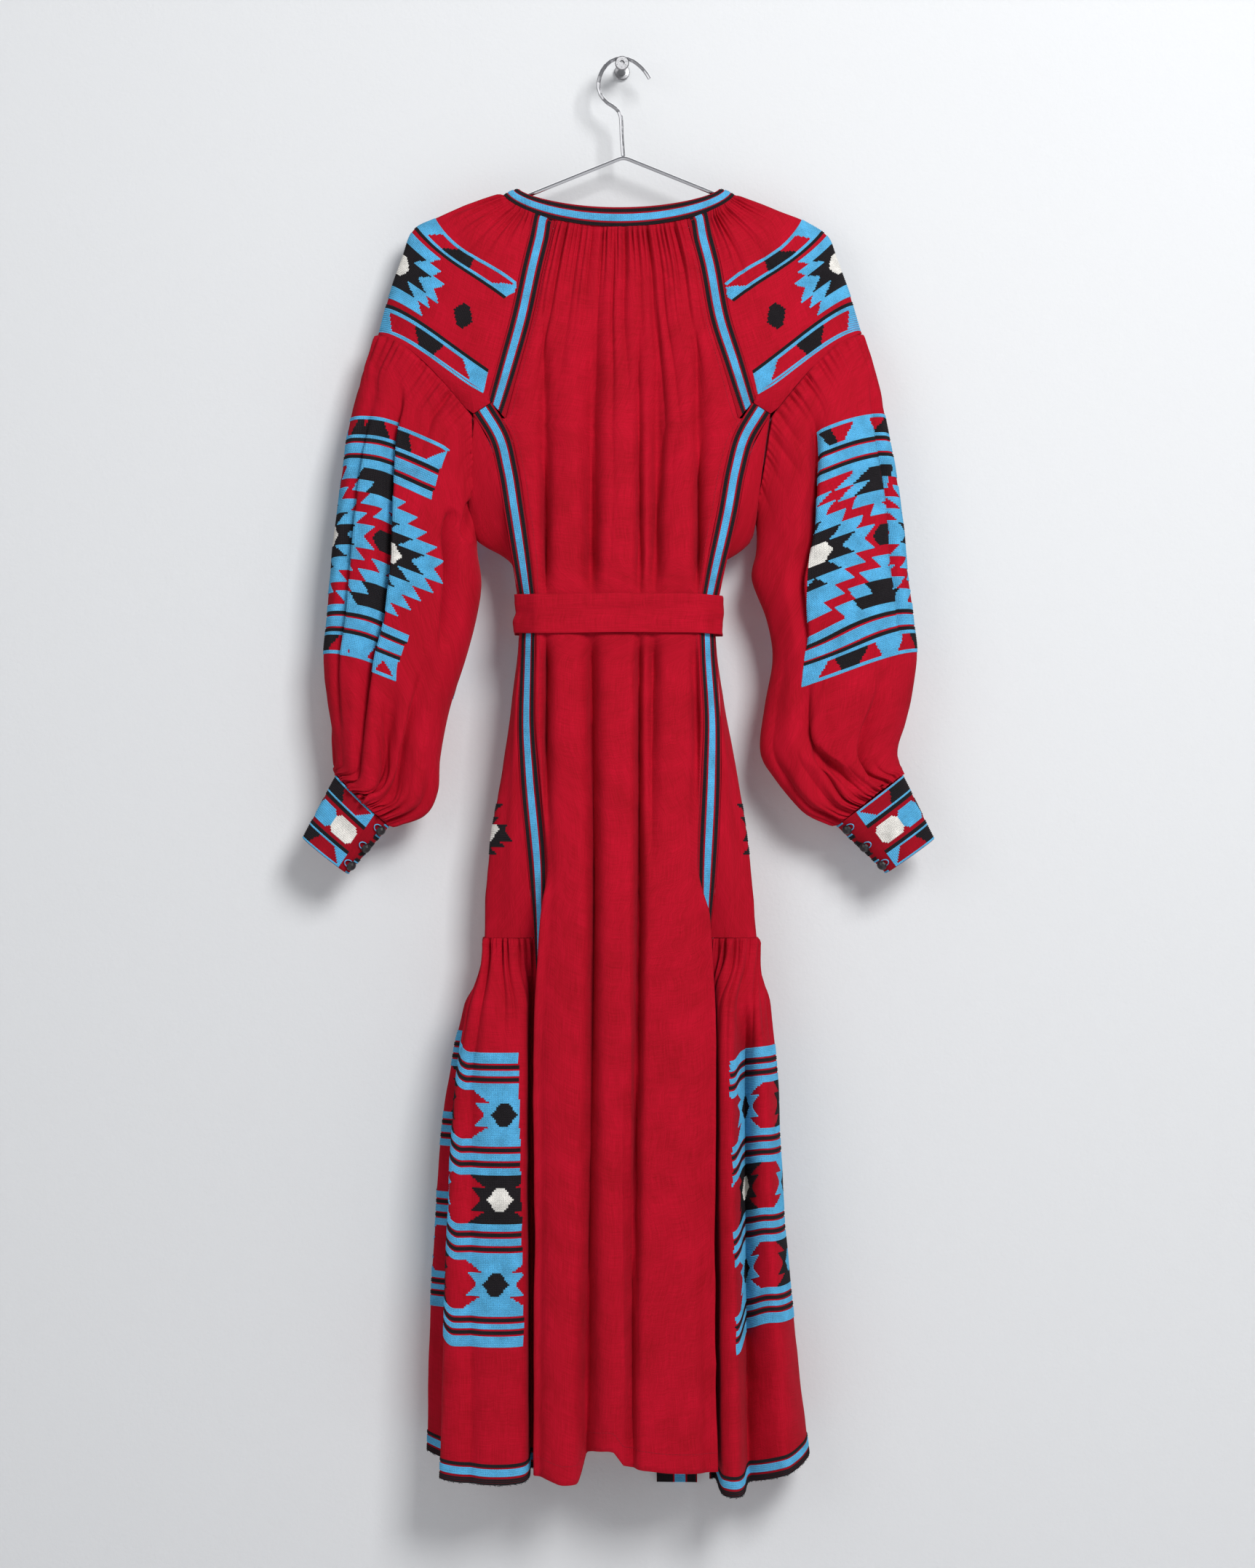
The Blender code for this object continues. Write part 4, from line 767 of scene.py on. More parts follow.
def lower_sleeve_grid(side_name, side):
    rings = np.concatenate([np.linspace(0, 1.2, 14)[:-1], np.linspace(1.2, 13, 112)])
    angles = np.linspace(-180, 180, 721)
    grid = np.array([evenly(sleeve_ring(side_name, ring, angles), SLEEVE_COLUMNS) for ring in rings])
    grid[0, :, 2] -= SEAM_GAP + 0.3
    hint = outwards(grid)
    place = np.linspace(0, 1, SLEEVE_COLUMNS)
    drop = rings * 40
    front = ramp(np.abs(np.abs(place - 0.5) * 360), 0, 40) * ramp(np.abs(place - 0.5), 0.5, 0.42)
    over_arm = ramp(np.abs(place - 0.5), 0.34, 0.2)
    upper = gathers(drop, place, 66, 4.2, 32, 72 + side) + gathers(drop, place, 18, 5.4, 84, 76 + side)
    upper *= 0.35 + 0.65 * over_arm
    cuff = gathers((13 - rings) * 34, place, 48, 4.2, 34, 81 + side)
    cuff += gathers((13 - rings) * 34, place, 16, 7.0, 90, 85 + side)
    loose = 1.2 + 1.1 * ramp(rings, 7.5, 9.5)
    grid = creased(grid, hint, loose[:, None], 71 + side)
    grid = swell(grid, hint, upper + cuff * (0.55 + 0.45 * front))
    inward = unit(grid[0].mean(axis=0) - grid[0])
    lips = [grid[0] + inward * reach + (0, 0, rise) for reach, rise in ((7, 8), (4.5, 4.5), (1.5, 1))]
    grid = np.concatenate([np.array(lips), grid])
    return grid, outwards(grid)


sleeves = {name: lower_sleeve_grid(name, side) for name, side in SIDES.items()}
shoulders = {name: upper_sleeve_grid(name, side) for name, side in SIDES.items()}
print("lower sleeve:", sleeves["left"][0].shape, "shoulder piece:", shoulders["left"][0].shape)

# %% [markdown]
# ### Sides, tiers, cuffs, collar, belt and tapes
#
# A side panel fills the room under the arm and a tier is gathered below it. Cuffs, collar and belt hold the
# cloth together, and tapes cover the seams. Strips could be boxes bent by modifiers, but they would come
# away from the cloth that they are sewn to. Here each strip takes its points from the seam or row it lies on.

# %% Side, tier and cuff nets
def side_panel_grid(side_name, side):
    levels = np.linspace(SIDE_TOP, TIER_SEAM, 84)
    grid = np.array([side_panel_row(side, z, 60) for z in levels])
    top = evenly(underarm_row(side_name, 60), 60)
    top[:, 0] -= side * (SEAM_GAP + LINEN)
    blend = ramp(levels, -400, SIDE_TOP)[:, None, None]
    grid = grid * (1 - blend) + blend * (top + (grid[0] - top) * 0.25)
    lip = grid[0] + (side * 3, 0, 9)
    lip[:, 1] += (lip[:, 1].mean() - lip[:, 1]) * 0.08
    hint = (side, 0, 0)
    sleeve = sleeves[side_name][0].reshape(-1, 3)
    place = np.linspace(0, 1, grid.shape[1])
    share = np.sin(math.pi * place) ** 0.7
    for row in grid:
        level = row[:, 2].mean()
        edge = (side * sleeve[np.abs(sleeve[:, 2] - level) < 5, 0]).min(initial=400)
        if edge < 400:
            short = np.clip(edge + 8 - (side * row[:, 0]).max(), 0, 24) * ramp(level, -497, -452)
            row[:, 0] += side * short * share
    grid = creased(grid, hint, 0.8, 91 + side)
    return np.concatenate([lip[None], grid]), hint


# Valleys down the near face of a tier. Columns: x, depth, width.
TIER_VALLEYS = {"left": [(-152, 6, 10)], "right": [(126, 20, 6)]}


TIER_COLUMNS = 204


def tier_grid(side_name, side, top, foot, rows):
    levels = top + (foot - top) * np.linspace(0, 1, rows) ** 1.15
    grid = np.array([tier_row(side_name, side, z, TIER_COLUMNS) for z in levels])
    place = np.linspace(0, 1, TIER_COLUMNS)
    drop = TIER_SEAM - levels
    waves = gathers(drop, place, 40, 2.0, 16, 112 + side) + gathers(drop, place, 14, 6.0, 96, 116 + side)
    hint = (side, -0.6, 0)
    for x, depth, width in TIER_VALLEYS[side_name]:
        near = ramp(grid[..., 1], -40, -60)
        dent = depth * ramp(drop, 60, 130)[:, None] * np.exp(-(np.abs((grid[..., 0] - x) / width) ** 1.5))
        grid[..., 1] += dent * near
    grid = creased(grid, hint, 0.9, 111 + side)
    return swell(grid, hint, waves * off_edges(TIER_COLUMNS, 0.04)), hint


def cuff_grid(side_name):
    grid = np.array([cuff_ring(side_name, place, 97) for place in np.linspace(0.015, 1, 34)])
    grid[:, -1] = grid[:, 0]
    hint = outwards(grid)
    return swell(grid, hint, noise(grid, (22, 22, 22), 131) * 0.5), hint


side_panels = {name: side_panel_grid(name, side) for name, side in SIDES.items()}
tiers = {name: tier_grid(name, side, TIER_SEAM, TRIM_LEVEL, 98) for name, side in SIDES.items()}
trims = {name: tier_grid(name, side, TRIM_LEVEL, HEM, 12) for name, side in SIDES.items()}
cuffs = {name: cuff_grid(name) for name in SIDES}
print("tier:", tiers["left"][0].shape, "cuff:", cuffs["left"][0].shape)

# %% Collar and belt nets
def collar_grid():
    angles = np.linspace(-math.pi / 2, 1.5 * math.pi, 241)
    foot, crown = collar_edge(COLLAR_FOOT, angles), collar_edge(COLLAR_CROWN, angles)
    share = np.linspace(0, 1, 11)[:, None, None]
    grid = crown * (1 - share) + foot * share
    middle = np.array([NECK_X, NECK_Y, COLLAR_FOOT[1] - 60])
    hint = grid - middle
    roll = np.sin(math.pi * share[..., 0]) * 0.9
    return swell(grid, hint, roll + noise(grid, (30, 30, 30), 141) * 0.35), hint


def belt_grid():
    """The belt's loop is the tight hull round what it ties in."""
    found = []
    for z in np.linspace(BELT_TOP + 4, BELT_FOOT - 4, 5):
        for side in (LEFT, RIGHT):
            found.append(side_panel_row(side, z, 61))
            for face in (BACK, FRONT):
                seam = SIDE_SEAMS[side, face]
                found += [seam.inner(z, HALF_TAPE)[None], seam.outer(z, HALF_TAPE)[None]]
        for face in (BACK, FRONT):
            ends = (SIDE_SEAMS[side, face].inner(z) for side in (LEFT, RIGHT))
            row = across_panel(*ends, z, face, {}, (z, z))
            found.append(row + (0, (LINEN + 0.8) * (face == FRONT), 0))
    loop = hull(np.concatenate(found)[:, :2])
    loop = np.concatenate([loop, np.zeros((len(loop), 1))], axis=1)
    loop = evenly(np.concatenate([loop, loop[:1]]), 241)[:-1]
    run = np.roll(loop, -1, axis=0) - np.roll(loop, 1, axis=0)
    loop += unit(np.cross(run, (0, 0, 1.0))) * (TAPE_THICK / 2 + 1.0 + SEAM_GAP + 1.1)
    loop = np.concatenate([loop, loop[:1]])
    levels = np.linspace(BELT_TOP, BELT_FOOT, 22)
    grid = np.array([loop + (0, 0, z) for z in levels])
    hint = outwards(grid)
    share = np.linspace(0, 1, 22)[:, None]
    creases = noise(grid, (95, 60, 12), 151) * 2.0 + noise(grid, (40, 40, 9), 152) * 0.9
    grid = swell(grid, hint, creases * np.sin(math.pi * share) ** 0.5 + 0.4)
    sag = noise(grid[:1], (60, 60, 60), 153) * 1.2
    grid[..., 2] += sag
    return grid, hint


collar, belt = collar_grid(), belt_grid()
print("collar:", collar[0].shape, "belt:", belt[0].shape)

# %% Tape and band nets
def tape_grid(seam, levels, raglan=False):
    """A taped seam's strip from its outer edge to its inner edge; a raglan tape ends at the collar."""
    rows = []
    for z in levels:
        outer = seam.outer(z, HALF_TAPE)
        inner = seam.inner(slanted(z) if raglan else z, HALF_TAPE)
        rows.append(outer + (inner - outer) * np.linspace(0, 1, 9)[:, None])
    grid = np.array(rows)
    if raglan:
        seam_z = COLLAR_FOOT[1] - neck_dip(grid[..., 0], seam.face) - SEAM_GAP - 0.2
        lift = ramp(np.array(levels), -185, NECK_SEAM)[:, None]
        grid[..., 2] += lift * (seam_z - grid[..., 2].mean(axis=1, keepdims=True)[0])
        grid[0, :, 2] = seam_z[0]
    hint = np.array([seam.side * 0.2, seam.face, 0])
    return swell(grid, hint, noise(grid, (15, 30, 60), 161) * 0.6), hint


tapes = {}
for name, side in SIDES.items():
    for face_name, face in (("back", BACK), ("front", FRONT)):
        key = f"tape_{face_name}_{name}"
        tapes[f"raglan_{key}"] = tape_grid(RAGLANS[side, face], np.linspace(NECK_SEAM, RAGLAN_FOOT, 60), True)
        tapes[f"side_{key}"] = tape_grid(SIDE_SEAMS[side, face], np.linspace(TAPE_TOP, HEM, 230))

band_x = np.linspace(-BAND_HALF, BAND_HALF, 19)
band_rows = []
for row in front_grid[1:]:
    x = through(BAND_LINE, row[:, 2].mean())[0] + band_x
    band_rows.append(at_lengths(row, row[:, 0], x))
front_band = np.array(band_rows) + (0, LINEN + 0.8, 0)
below = np.linspace(front_band[-1, :, 2].mean(), BAND_END, 9)[1:]
tail = np.repeat(front_band[-1:], 8, axis=0)
tail[..., 2] = below[:, None]
front_band = np.concatenate([front_band, tail])
print(len(tapes), "tapes and the front band", front_band.shape)

# %% [markdown]
# ## Materials
#
# Red linen is dull, with threads of uneven thickness, and cotton yarn is a little smoother. A picture of
# cloth could be laid on, but it would blur in a close view. Waves and noise stay sharp at any size. Linen
# gets its weave, slubs and mottling from the cloth's own UV map, in metres along and across the threads, so
# they follow the folds. Yarn takes its colour from an attribute that each stitch carries.

# %% Helpers for nodes
def tree_of(name):
    made = bpy.data.materials.new(name)
    made.use_nodes = True
    tree = made.node_tree
    return made, tree, tree.nodes["Principled BSDF"]


def add(tree, kind, inputs=None, **settings):
    """A node with its settings and inputs; an input is a value or another node's output."""
    node = tree.nodes.new(kind)
    for key, value in settings.items():
        setattr(node, key, value)
    for key, value in (inputs or {}).items():
        if isinstance(value, bpy.types.NodeSocket):
            tree.links.new(value, node.inputs[key])
        else:
            node.inputs[key].default_value = value
    return node


def maths(tree, operation, *values):
    """The result of one step of arithmetic on values or other nodes' outputs."""
    return add(tree, "ShaderNodeMath", dict(enumerate(values)), operation=operation).outputs[0]


def grain(tree, place, scale, detail):
    """Noise at a place, a node's output."""
    return add(tree, "ShaderNodeTexNoise", {"Vector": place, "Scale": scale, "Detail": detail}).outputs[0]


def own_place(tree):
    """The place on the object itself, so that patterns stay with it."""
    return add(tree, "ShaderNodeTexCoord").outputs["Object"]


def bumped(tree, height, strength, distance):
    """Gives the tree's shader small hills and dales of a height, a node's output."""
    hills = add(tree, "ShaderNodeBump", {"Height": height, "Strength": strength, "Distance": distance})
    tree.links.new(hills.outputs[0], tree.nodes["Principled BSDF"].inputs["Normal"])


print("helpers for materials, nodes, arithmetic, noise and bumps are ready")

# %% Weave group
def weave_group():
    """Threads of a plain weave and their slubs: gives a mottling and a height."""
    group = bpy.data.node_groups.new("Plain weave", "ShaderNodeTree")
    face = group.interface
    face.new_socket("Place", in_out="INPUT", socket_type="NodeSocketVector")
    count = face.new_socket("Threads per metre", in_out="INPUT", socket_type="NodeSocketFloat")
    count.default_value = 1300
    face.new_socket("Mottling", in_out="OUTPUT", socket_type="NodeSocketFloat")
    face.new_socket("Height", in_out="OUTPUT", socket_type="NodeSocketFloat")
    come, go = group.nodes.new("NodeGroupInput"), group.nodes.new("NodeGroupOutput")
    place, threads = come.outputs["Place"], come.outputs["Threads per metre"]
    split = add(group, "ShaderNodeSeparateXYZ", {0: place})
    waves = []
    for axis in ("X", "Y"):
        turned = maths(group, "MULTIPLY", maths(group, "MULTIPLY", split.outputs[axis], threads), 2 * math.pi)
        waves.append(maths(group, "SINE", turned))
    cross = maths(group, "MULTIPLY", *waves)
    slubs = []
    for stretch in ((900, 45, 1), (45, 900, 1)):
        placed = add(group, "ShaderNodeVectorMath", {0: place, 1: stretch}, operation="MULTIPLY")
        slubs.append(grain(group, placed.outputs[0], 1.0, 3.0))
    both = maths(group, "ADD", *slubs)
    mottle = maths(group, "ADD", both, grain(group, place, 22.0, 4.0))
    third = maths(group, "MULTIPLY", mottle, 1 / 3)
    raised = maths(group, "MULTIPLY_ADD", cross, 0.35, both)
    group.links.new(third, go.inputs["Mottling"])
    group.links.new(raised, go.inputs["Height"])
    return group


WEAVE = weave_group()
print("weave group:", len(WEAVE.nodes), "nodes")

# %% Linen and yarn
LINEN_ROUGHNESS = 0.86


def linen(name, dark, light):
    """Linen whose colour wanders from dark to light."""
    made, tree, shader = tree_of(name)
    uv = add(tree, "ShaderNodeUVMap", uv_map="cloth")
    weave = add(tree, "ShaderNodeGroup", {}, node_tree=WEAVE)
    tree.links.new(uv.outputs[0], weave.inputs["Place"])
    spread = add(tree, "ShaderNodeMapRange", {0: weave.outputs["Mottling"], 1: 0.36, 2: 0.64})
    mix = add(tree, "ShaderNodeMix", {0: spread.outputs[0], 6: (*dark, 1), 7: (*light, 1)}, data_type="RGBA")
    bumped(tree, weave.outputs["Height"], 0.35, 0.0005)
    rough = add(tree, "ShaderNodeMapRange", {0: weave.outputs["Mottling"], 1: 0.3, 2: 0.7,
                                             3: LINEN_ROUGHNESS - 0.08, 4: LINEN_ROUGHNESS + 0.06})
    tree.links.new(mix.outputs[2], shader.inputs["Base Color"])
    tree.links.new(rough.outputs[0], shader.inputs["Roughness"])
    shader.inputs["Specular IOR Level"].default_value = 0.12
    shader.inputs["Sheen Weight"].default_value = 0.05
    shader.inputs["Sheen Roughness"].default_value = 0.5
    shader.inputs["Sheen Tint"].default_value = (1.0, 0.2, 0.25, 1)
    return made


def yarn(name):
    """Shade 0 is blue, 1 black, 2 white and 3 red."""
    made, tree, shader = tree_of(name)
    shade = add(tree, "ShaderNodeAttribute", attribute_name="shade")
    ramp_node = add(tree, "ShaderNodeValToRGB", {0: maths(tree, "MULTIPLY", shade.outputs["Fac"], 1 / 3)})
    ramp_node.color_ramp.interpolation = "CONSTANT"
    points = ramp_node.color_ramp.elements
    colours = ((0.090, 0.385, 0.63), (0.010, 0.008, 0.010), (0.70, 0.68, 0.64), (0.34, 0.004, 0.016))
    points[0].color, points[1].color = (*colours[0], 1), (*colours[3], 1)
    points[1].position = 0.85
    for k in (1, 2):
        point = points.new(k / 3 - 0.15)
        point.color = (*colours[k], 1)
    spot = own_place(tree)
    fibre, patch = grain(tree, spot, 900.0, 3.0), grain(tree, spot, 60.0, 2.0)
    both = maths(tree, "ADD", fibre, patch)
    level = add(tree, "ShaderNodeMapRange", {0: both, 1: 0.7, 2: 1.3, 3: 0.72, 4: 1.18})
    tone = add(tree, "ShaderNodeMix", {0: 1.0}, data_type="RGBA", blend_type="MULTIPLY")
    tree.links.new(ramp_node.outputs[0], tone.inputs[6])
    tree.links.new(level.outputs[0], tone.inputs[7])
    bumped(tree, fibre, 0.5, 0.0004)
    tree.links.new(tone.outputs[2], shader.inputs["Base Color"])
    shader.inputs["Roughness"].default_value = 0.72
    shader.inputs["Specular IOR Level"].default_value = 0.2
    return made


RED = linen("red linen", (0.29, 0.0010, 0.0075), (0.47, 0.0034, 0.020))
GROUND = linen("linen under stitches", (0.22, 0.001, 0.007), (0.34, 0.003, 0.014))
YARN = yarn("cotton yarn")
print("cloth materials:", RED.name, GROUND.name, YARN.name)

# %% [markdown]
# ## From a net to a mesh
#
# The edge of a hem is cloth turned under, so it looks rounded and thick. A Solidify modifier could thicken
# every piece, but it would double the faces everywhere, and only the free edges show. So those edges get a
# narrow strip turned behind them. `cloth` makes the mesh of a grid, with the `cloth` UV map, smooth shading
# and turned edges, and hides the frame's solid that it stands for.

# %% Meshes of cloth
def arcs(grid):
    """Lengths along each row and down each column of a grid."""
    across = np.linalg.norm(np.diff(grid, axis=1), axis=-1)
    down = np.linalg.norm(np.diff(grid, axis=0), axis=-1)
    zero_column, zero_row = np.zeros((len(grid), 1)), np.zeros((1, grid.shape[1]))
    return (np.concatenate([zero_column, np.cumsum(across, axis=1)], axis=1),
            np.concatenate([zero_row, np.cumsum(down, axis=0)], axis=0))


def folded_under(grid, hint, edge, turn=11.0, behind=1.1):
    """Adds a turned edge: a rounded lip, and a strip that lies close behind the cloth."""
    facing = normals_of(grid, hint)
    lengths = arcs(grid)[1].mean(axis=1)
    if edge == "top":
        grid, facing, lengths = grid[::-1], facing[::-1], lengths[-1] - lengths[::-1]
    back = lengths[-1] - turn
    start = int(np.searchsorted(lengths, back))
    strip = [grid[-1] - facing[-1] * behind / 2 + unit(grid[-1] - grid[-2]) * 0.35]
    strip += [grid[k] - facing[k] * behind for k in range(len(grid) - 1, start - 1, -3)]
    grid = np.concatenate([grid, np.array(strip)])
    return grid[::-1] if edge == "top" else grid


def put(name, data):
    """An object with this data, in the scene."""
    made = bpy.data.objects.new(name, data)
    bpy.context.scene.collection.objects.link(made)
    return made


def cloth(name, grid, hint, material=RED, closed=False, turned=(), stands_for=None):
    """The mesh of a grid, named after its solid unless it stands for one of another name."""
    full = grid
    for edge in turned:
        full = folded_under(full, outwards(full) if closed else hint, edge)
    rows, columns = full.shape[:2]
    index = np.arange(rows * columns).reshape(rows, columns)
    quads = np.stack([index[:-1, :-1], index[1:, :-1], index[1:, 1:], index[:-1, 1:]], -1).reshape(-1, 4)
    facing = np.cross(full[1:, :-1] - full[:-1, :-1], full[:-1, 1:] - full[:-1, :-1])
    middle = outwards(full) if closed else np.broadcast_to(hint, full.shape)
    if (facing * middle[:-1, :-1]).sum() < 0:
        quads = quads[:, ::-1]
    around = columns - 1 if closed else columns
    joined = (np.arange(rows)[:, None] * around + np.arange(columns) % around).ravel()
    mesh = bpy.data.meshes.new(f"cloth_{name}")
    mesh.from_pydata((full[:, :around].reshape(-1, 3) * MM).tolist(), [], joined[quads].tolist())
    u, v = arcs(full)
    places = np.stack([u, v], -1).reshape(-1, 2) * MM
    layer = mesh.uv_layers.new(name="cloth")
    layer.data.foreach_set("uv", places[quads.ravel()].astype(np.float32).ravel())
    mesh.shade_smooth()
    mesh.materials.append(material)
    made = put(mesh.name, mesh)
    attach(made, "root")
    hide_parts(stands_for or name)
    return made


turned_panel = folded_under(back_grid, back_hint, "bottom")
print("a turned hem adds", len(turned_panel) - len(back_grid), "rows to the back panel")

# %% Pieces of cloth
cloth("back_panel", back_grid, back_hint, turned=("bottom",))
cloth("front_panel", front_grid, front_hint, turned=("bottom",))
cloth("front_band", front_band, (0, 1, 0), GROUND, stands_for="front_centre_band")
cloth("collar", *collar, GROUND, closed=True, turned=("top", "bottom"), stands_for="collar_band")
cloth("belt", *belt, closed=True, turned=("top", "bottom"))
for name in SIDES:
    cloth(f"upper_sleeve_{name}", *shoulders[name], turned=("bottom",))
    cloth(f"lower_sleeve_{name}", *sleeves[name], closed=True)
    cloth(f"cuff_{name}", *cuffs[name], GROUND, closed=True, turned=("bottom", "top"))
    cloth(f"side_panel_{name}", *side_panels[name])
    cloth(f"side_tier_{name}", *tiers[name])
    cloth(f"hem_trim_{name}", *trims[name], GROUND, turned=("bottom",))
for key, tape in tapes.items():
    cloth(key, *tape, GROUND)

# %% [markdown]
# ## Charts
#
# The embroidery is counted cross-stitch in the manner of traditional kilim borders, and a maker works it
# from a squared chart. The chart could be painted as a picture, but a rule is shorter and easy to change.
# A chart here is a function that gives a stitch's shade from its column and row, with stripes, toothed
# medallions, hexagons and trapezoids.

# %% Chart rules
NONE, BLUE, BLACK, WHITE, RED_THREAD = -1, 0, 1, 2, 3
PITCH = 1.85
LETTERS = {"B": BLUE, "K": BLACK, "W": WHITE, ".": NONE}


def stripes(pattern, place):
    """Shades of stripes, one letter for each stitch across them."""
    shades = np.array([LETTERS.get(letter, NONE) for letter in pattern])
    inside = (place >= 0) & (place < len(pattern))
    return np.where(inside, shades[np.clip(place, 0, len(pattern) - 1)], NONE)


def toothed(row, first, step, tooth, bite):
    """Half width of a medallion whose teeth point away from its middle row."""
    k = row // tooth
    out = (row % tooth) / (tooth - 1)
    return first - step * k - bite * (1 - out)


def hexagon(column, row, half_width, half_height, slope):
    return (np.abs(row) <= half_height) & (np.abs(column) <= half_width - slope * np.abs(row))


def trapezoids(column, depth, period, shades, base):
    """Trapezoids that widen with depth, in shades that take turns."""
    k = np.round(column / period).astype(int)
    away = np.abs(column - k * period)
    shade = np.array(shades)[k % len(shades)]
    return np.where(away <= base + 0.6 * depth, shade, NONE)


print("a tooth's half widths:", [round(float(toothed(r, 34, 6, 7, 6)), 1) for r in range(0, 14, 3)])

# %% Sleeve chart
SLEEVE_TOP = "BBtttttttttBBKK.BBBBBB.KKBBBB"
SLEEVE_FIELD = 82
HALF_PERIOD = 42


def sleeve_chart(column, row, stop, field_stop):
    """The big panel of a lower sleeve: medallions in the field, half medallions from both borders.
    Past column 0 the borders end at stop and the medallion at field_stop."""
    top = len(SLEEVE_TOP)
    mirrored = row >= top + SLEEVE_FIELD / 2
    depth = 2 * top + SLEEVE_FIELD - 1 - row if mirrored else row
    if depth < top:
        letter = SLEEVE_TOP[depth]
        if letter == "t":
            order = (BLUE, BLACK) if mirrored else (BLACK, BLUE)
            shade = trapezoids(column, depth - 2, 24, order, 5)
            shade[column > 12] = NONE
            shade[column > stop - 1.5 - 0.9 * (depth - 2)] = BLUE
            return np.where(column <= stop, shade, NONE)
        return np.where(column <= stop, LETTERS[letter], NONE)
    away = abs(row - top - (SLEEVE_FIELD - 1) / 2)
    full = (column + HALF_PERIOD) % (2 * HALF_PERIOD) - HALF_PERIOD
    half = column % (2 * HALF_PERIOD) - HALF_PERIOD
    shade = np.full(len(column), NONE)
    if away < 34:
        shade[np.abs(full) <= toothed(away, 34, 5.5, 7, 6)] = BLUE
        if away < 20:
            shade[np.abs(full) <= toothed(away, 22, 7.5, 6.5, 7)] = BLACK
        shade[hexagon(full, away, 9.5, 6, 0.75)] = WHITE
    deep = depth - top
    if deep < 29:
        shade[np.abs(half) <= toothed(deep, 28, 6.5, 7.3, 6)] = BLUE
        if 1 <= deep < 15:
            shade[np.abs(half) <= toothed(deep, 17, 6, 7.5, 5)] = BLACK
    shade[hexagon(half, away, 9, 6, 0.75)] = BLACK
    past = np.abs(full) <= toothed(away, 34, 5.5, 7, 6) if away < 34 else np.zeros(len(column), bool)
    shade[((column > 6) & ~past) | (column > field_stop)] = NONE
    return shade


print("rows of the sleeve's panel:", 2 * len(SLEEVE_TOP) + SLEEVE_FIELD)

# %% Shoulder chart
SHOULDER_TOP = "BBtttttttttBBKK"
SHOULDER_FIELD = 46


def shoulder_chart(column, row):
    """Bands along the shoulder with one toothed medallion over the ridge."""
    top = len(SHOULDER_TOP)
    mirrored = row >= top + SHOULDER_FIELD / 2
    depth = 2 * top + SHOULDER_FIELD - 1 - row if mirrored else row
    side = np.abs(column)
    end = 73 if mirrored else 68
    if depth < top:
        letter = SHOULDER_TOP[depth]
        if letter == "t":
            inner = depth - 2
            shade = np.where(np.abs(side - (34 if mirrored else 32)) <= 5 + 0.6 * inner, BLACK, NONE)
            shade[side <= 10 - 0.5 * inner if mirrored else side <= 13 - 0.3 * inner] = BLUE
            shade[side >= 64 - 0.8 * inner] = BLUE
            return np.where(side <= end, shade, NONE)
        return np.where(side <= end, LETTERS[letter], NONE)
    away = abs(row - top - (SHOULDER_FIELD - 1) / 2)
    shade = np.full(len(column), NONE)
    if away < 20:
        shade[side <= toothed(away, 33, 3.5, 6.6, 5)] = BLUE
        if away < 13:
            shade[side <= toothed(away, 24, 6, 6.5, 7)] = BLACK
        shade[hexagon(side, away, 10, 6, 0.75)] = WHITE
    shade[hexagon(side - 50, abs(row - top - SHOULDER_FIELD / 2 - 3), 6.5, 7, 0.6)] = BLACK
    return shade


print("rows of the shoulder's panel:", 2 * len(SHOULDER_TOP) + SHOULDER_FIELD)

# %% Cuff, tier and strip charts
CUFF_STACK = "BtttttttBKK..mmmmmmmmmmm..KKBtttttttB"
TIER_STACK = (
    "BBBBBB.KK.BBB.KK.BBBB", "BBBB.KK.BBBB.KK.BBBB", "BBBB.KK.BBBB.KK.BBBB", "BBBB.KK.BBB.KK.BBBBBB",
)
STAR_ROWS = 27
STAR_PERIOD = 46
TRIM_STACK = "KK.BBBB.KKK"
TAPE_STACK = "KK.BBBB.KK"
COLLAR_STACK = ".KK.BBBB.KK"
BAND_STACK = "KKKKKKKKK.BBBBBB.KKKKKK"


def star(column, row, body, heart):
    """An eight-armed star between two borders; row is counted from its middle."""
    away = abs(row)
    half = 8.5 + (away - 7) * 1.5 if away > 6 else 11 + away * 0.85
    shade = np.where(np.abs(column) <= half, body, NONE)
    shade[hexagon(column, away, 7, 6, 0.7)] = heart
    return shade


def cuff_chart(column, row):
    """Borders of trapezoids and a middle row of medallions whose shades take turns."""
    letter = CUFF_STACK[row]
    if letter == "t":
        depth = row - 1 if row < 12 else 35 - row
        shade = np.where(np.abs(column + 29) <= 7 + 0.6 * depth, BLACK, NONE)
        shade[column >= -1 - 1.1 * depth] = BLUE
        return shade
    if letter == "m":
        k = np.round((-column - 9) / 15).astype(int)
        away = abs(row - 18)
        order = np.array((WHITE, BLUE, BLACK))[k % 3]
        inside = (k >= 0) & (np.abs(-column - 9 - 15 * k) <= 9 - 0.85 * max(away - 1, 0))
        return np.where(inside, order, NONE)
    return np.full(len(column), LETTERS[letter])


def tier_chart(column, row):
    """Four borders and three rows of stars whose shades take turns along the columns and down."""
    k = np.round(column / STAR_PERIOD).astype(int)
    local = column - k * STAR_PERIOD
    for number, border in enumerate(TIER_STACK):
        if row < len(border):
            return np.full(len(column), LETTERS[border[row]])
        row -= len(border)
        if number < 3 and row < STAR_ROWS:
            from_middle = row - (STAR_ROWS - 1) / 2
            blue = star(local, from_middle, BLUE, BLACK)
            black = star(local, from_middle, BLACK, WHITE if number == 1 else BLUE)
            return np.where((k + number) % 2 == 0, blue, black)
        row -= STAR_ROWS
    return np.full(len(column), NONE)


TIER_ROWS = sum(map(len, TIER_STACK)) + 3 * STAR_ROWS
print("rows of the tier's panel:", TIER_ROWS, "and of the cuff's:", len(CUFF_STACK))

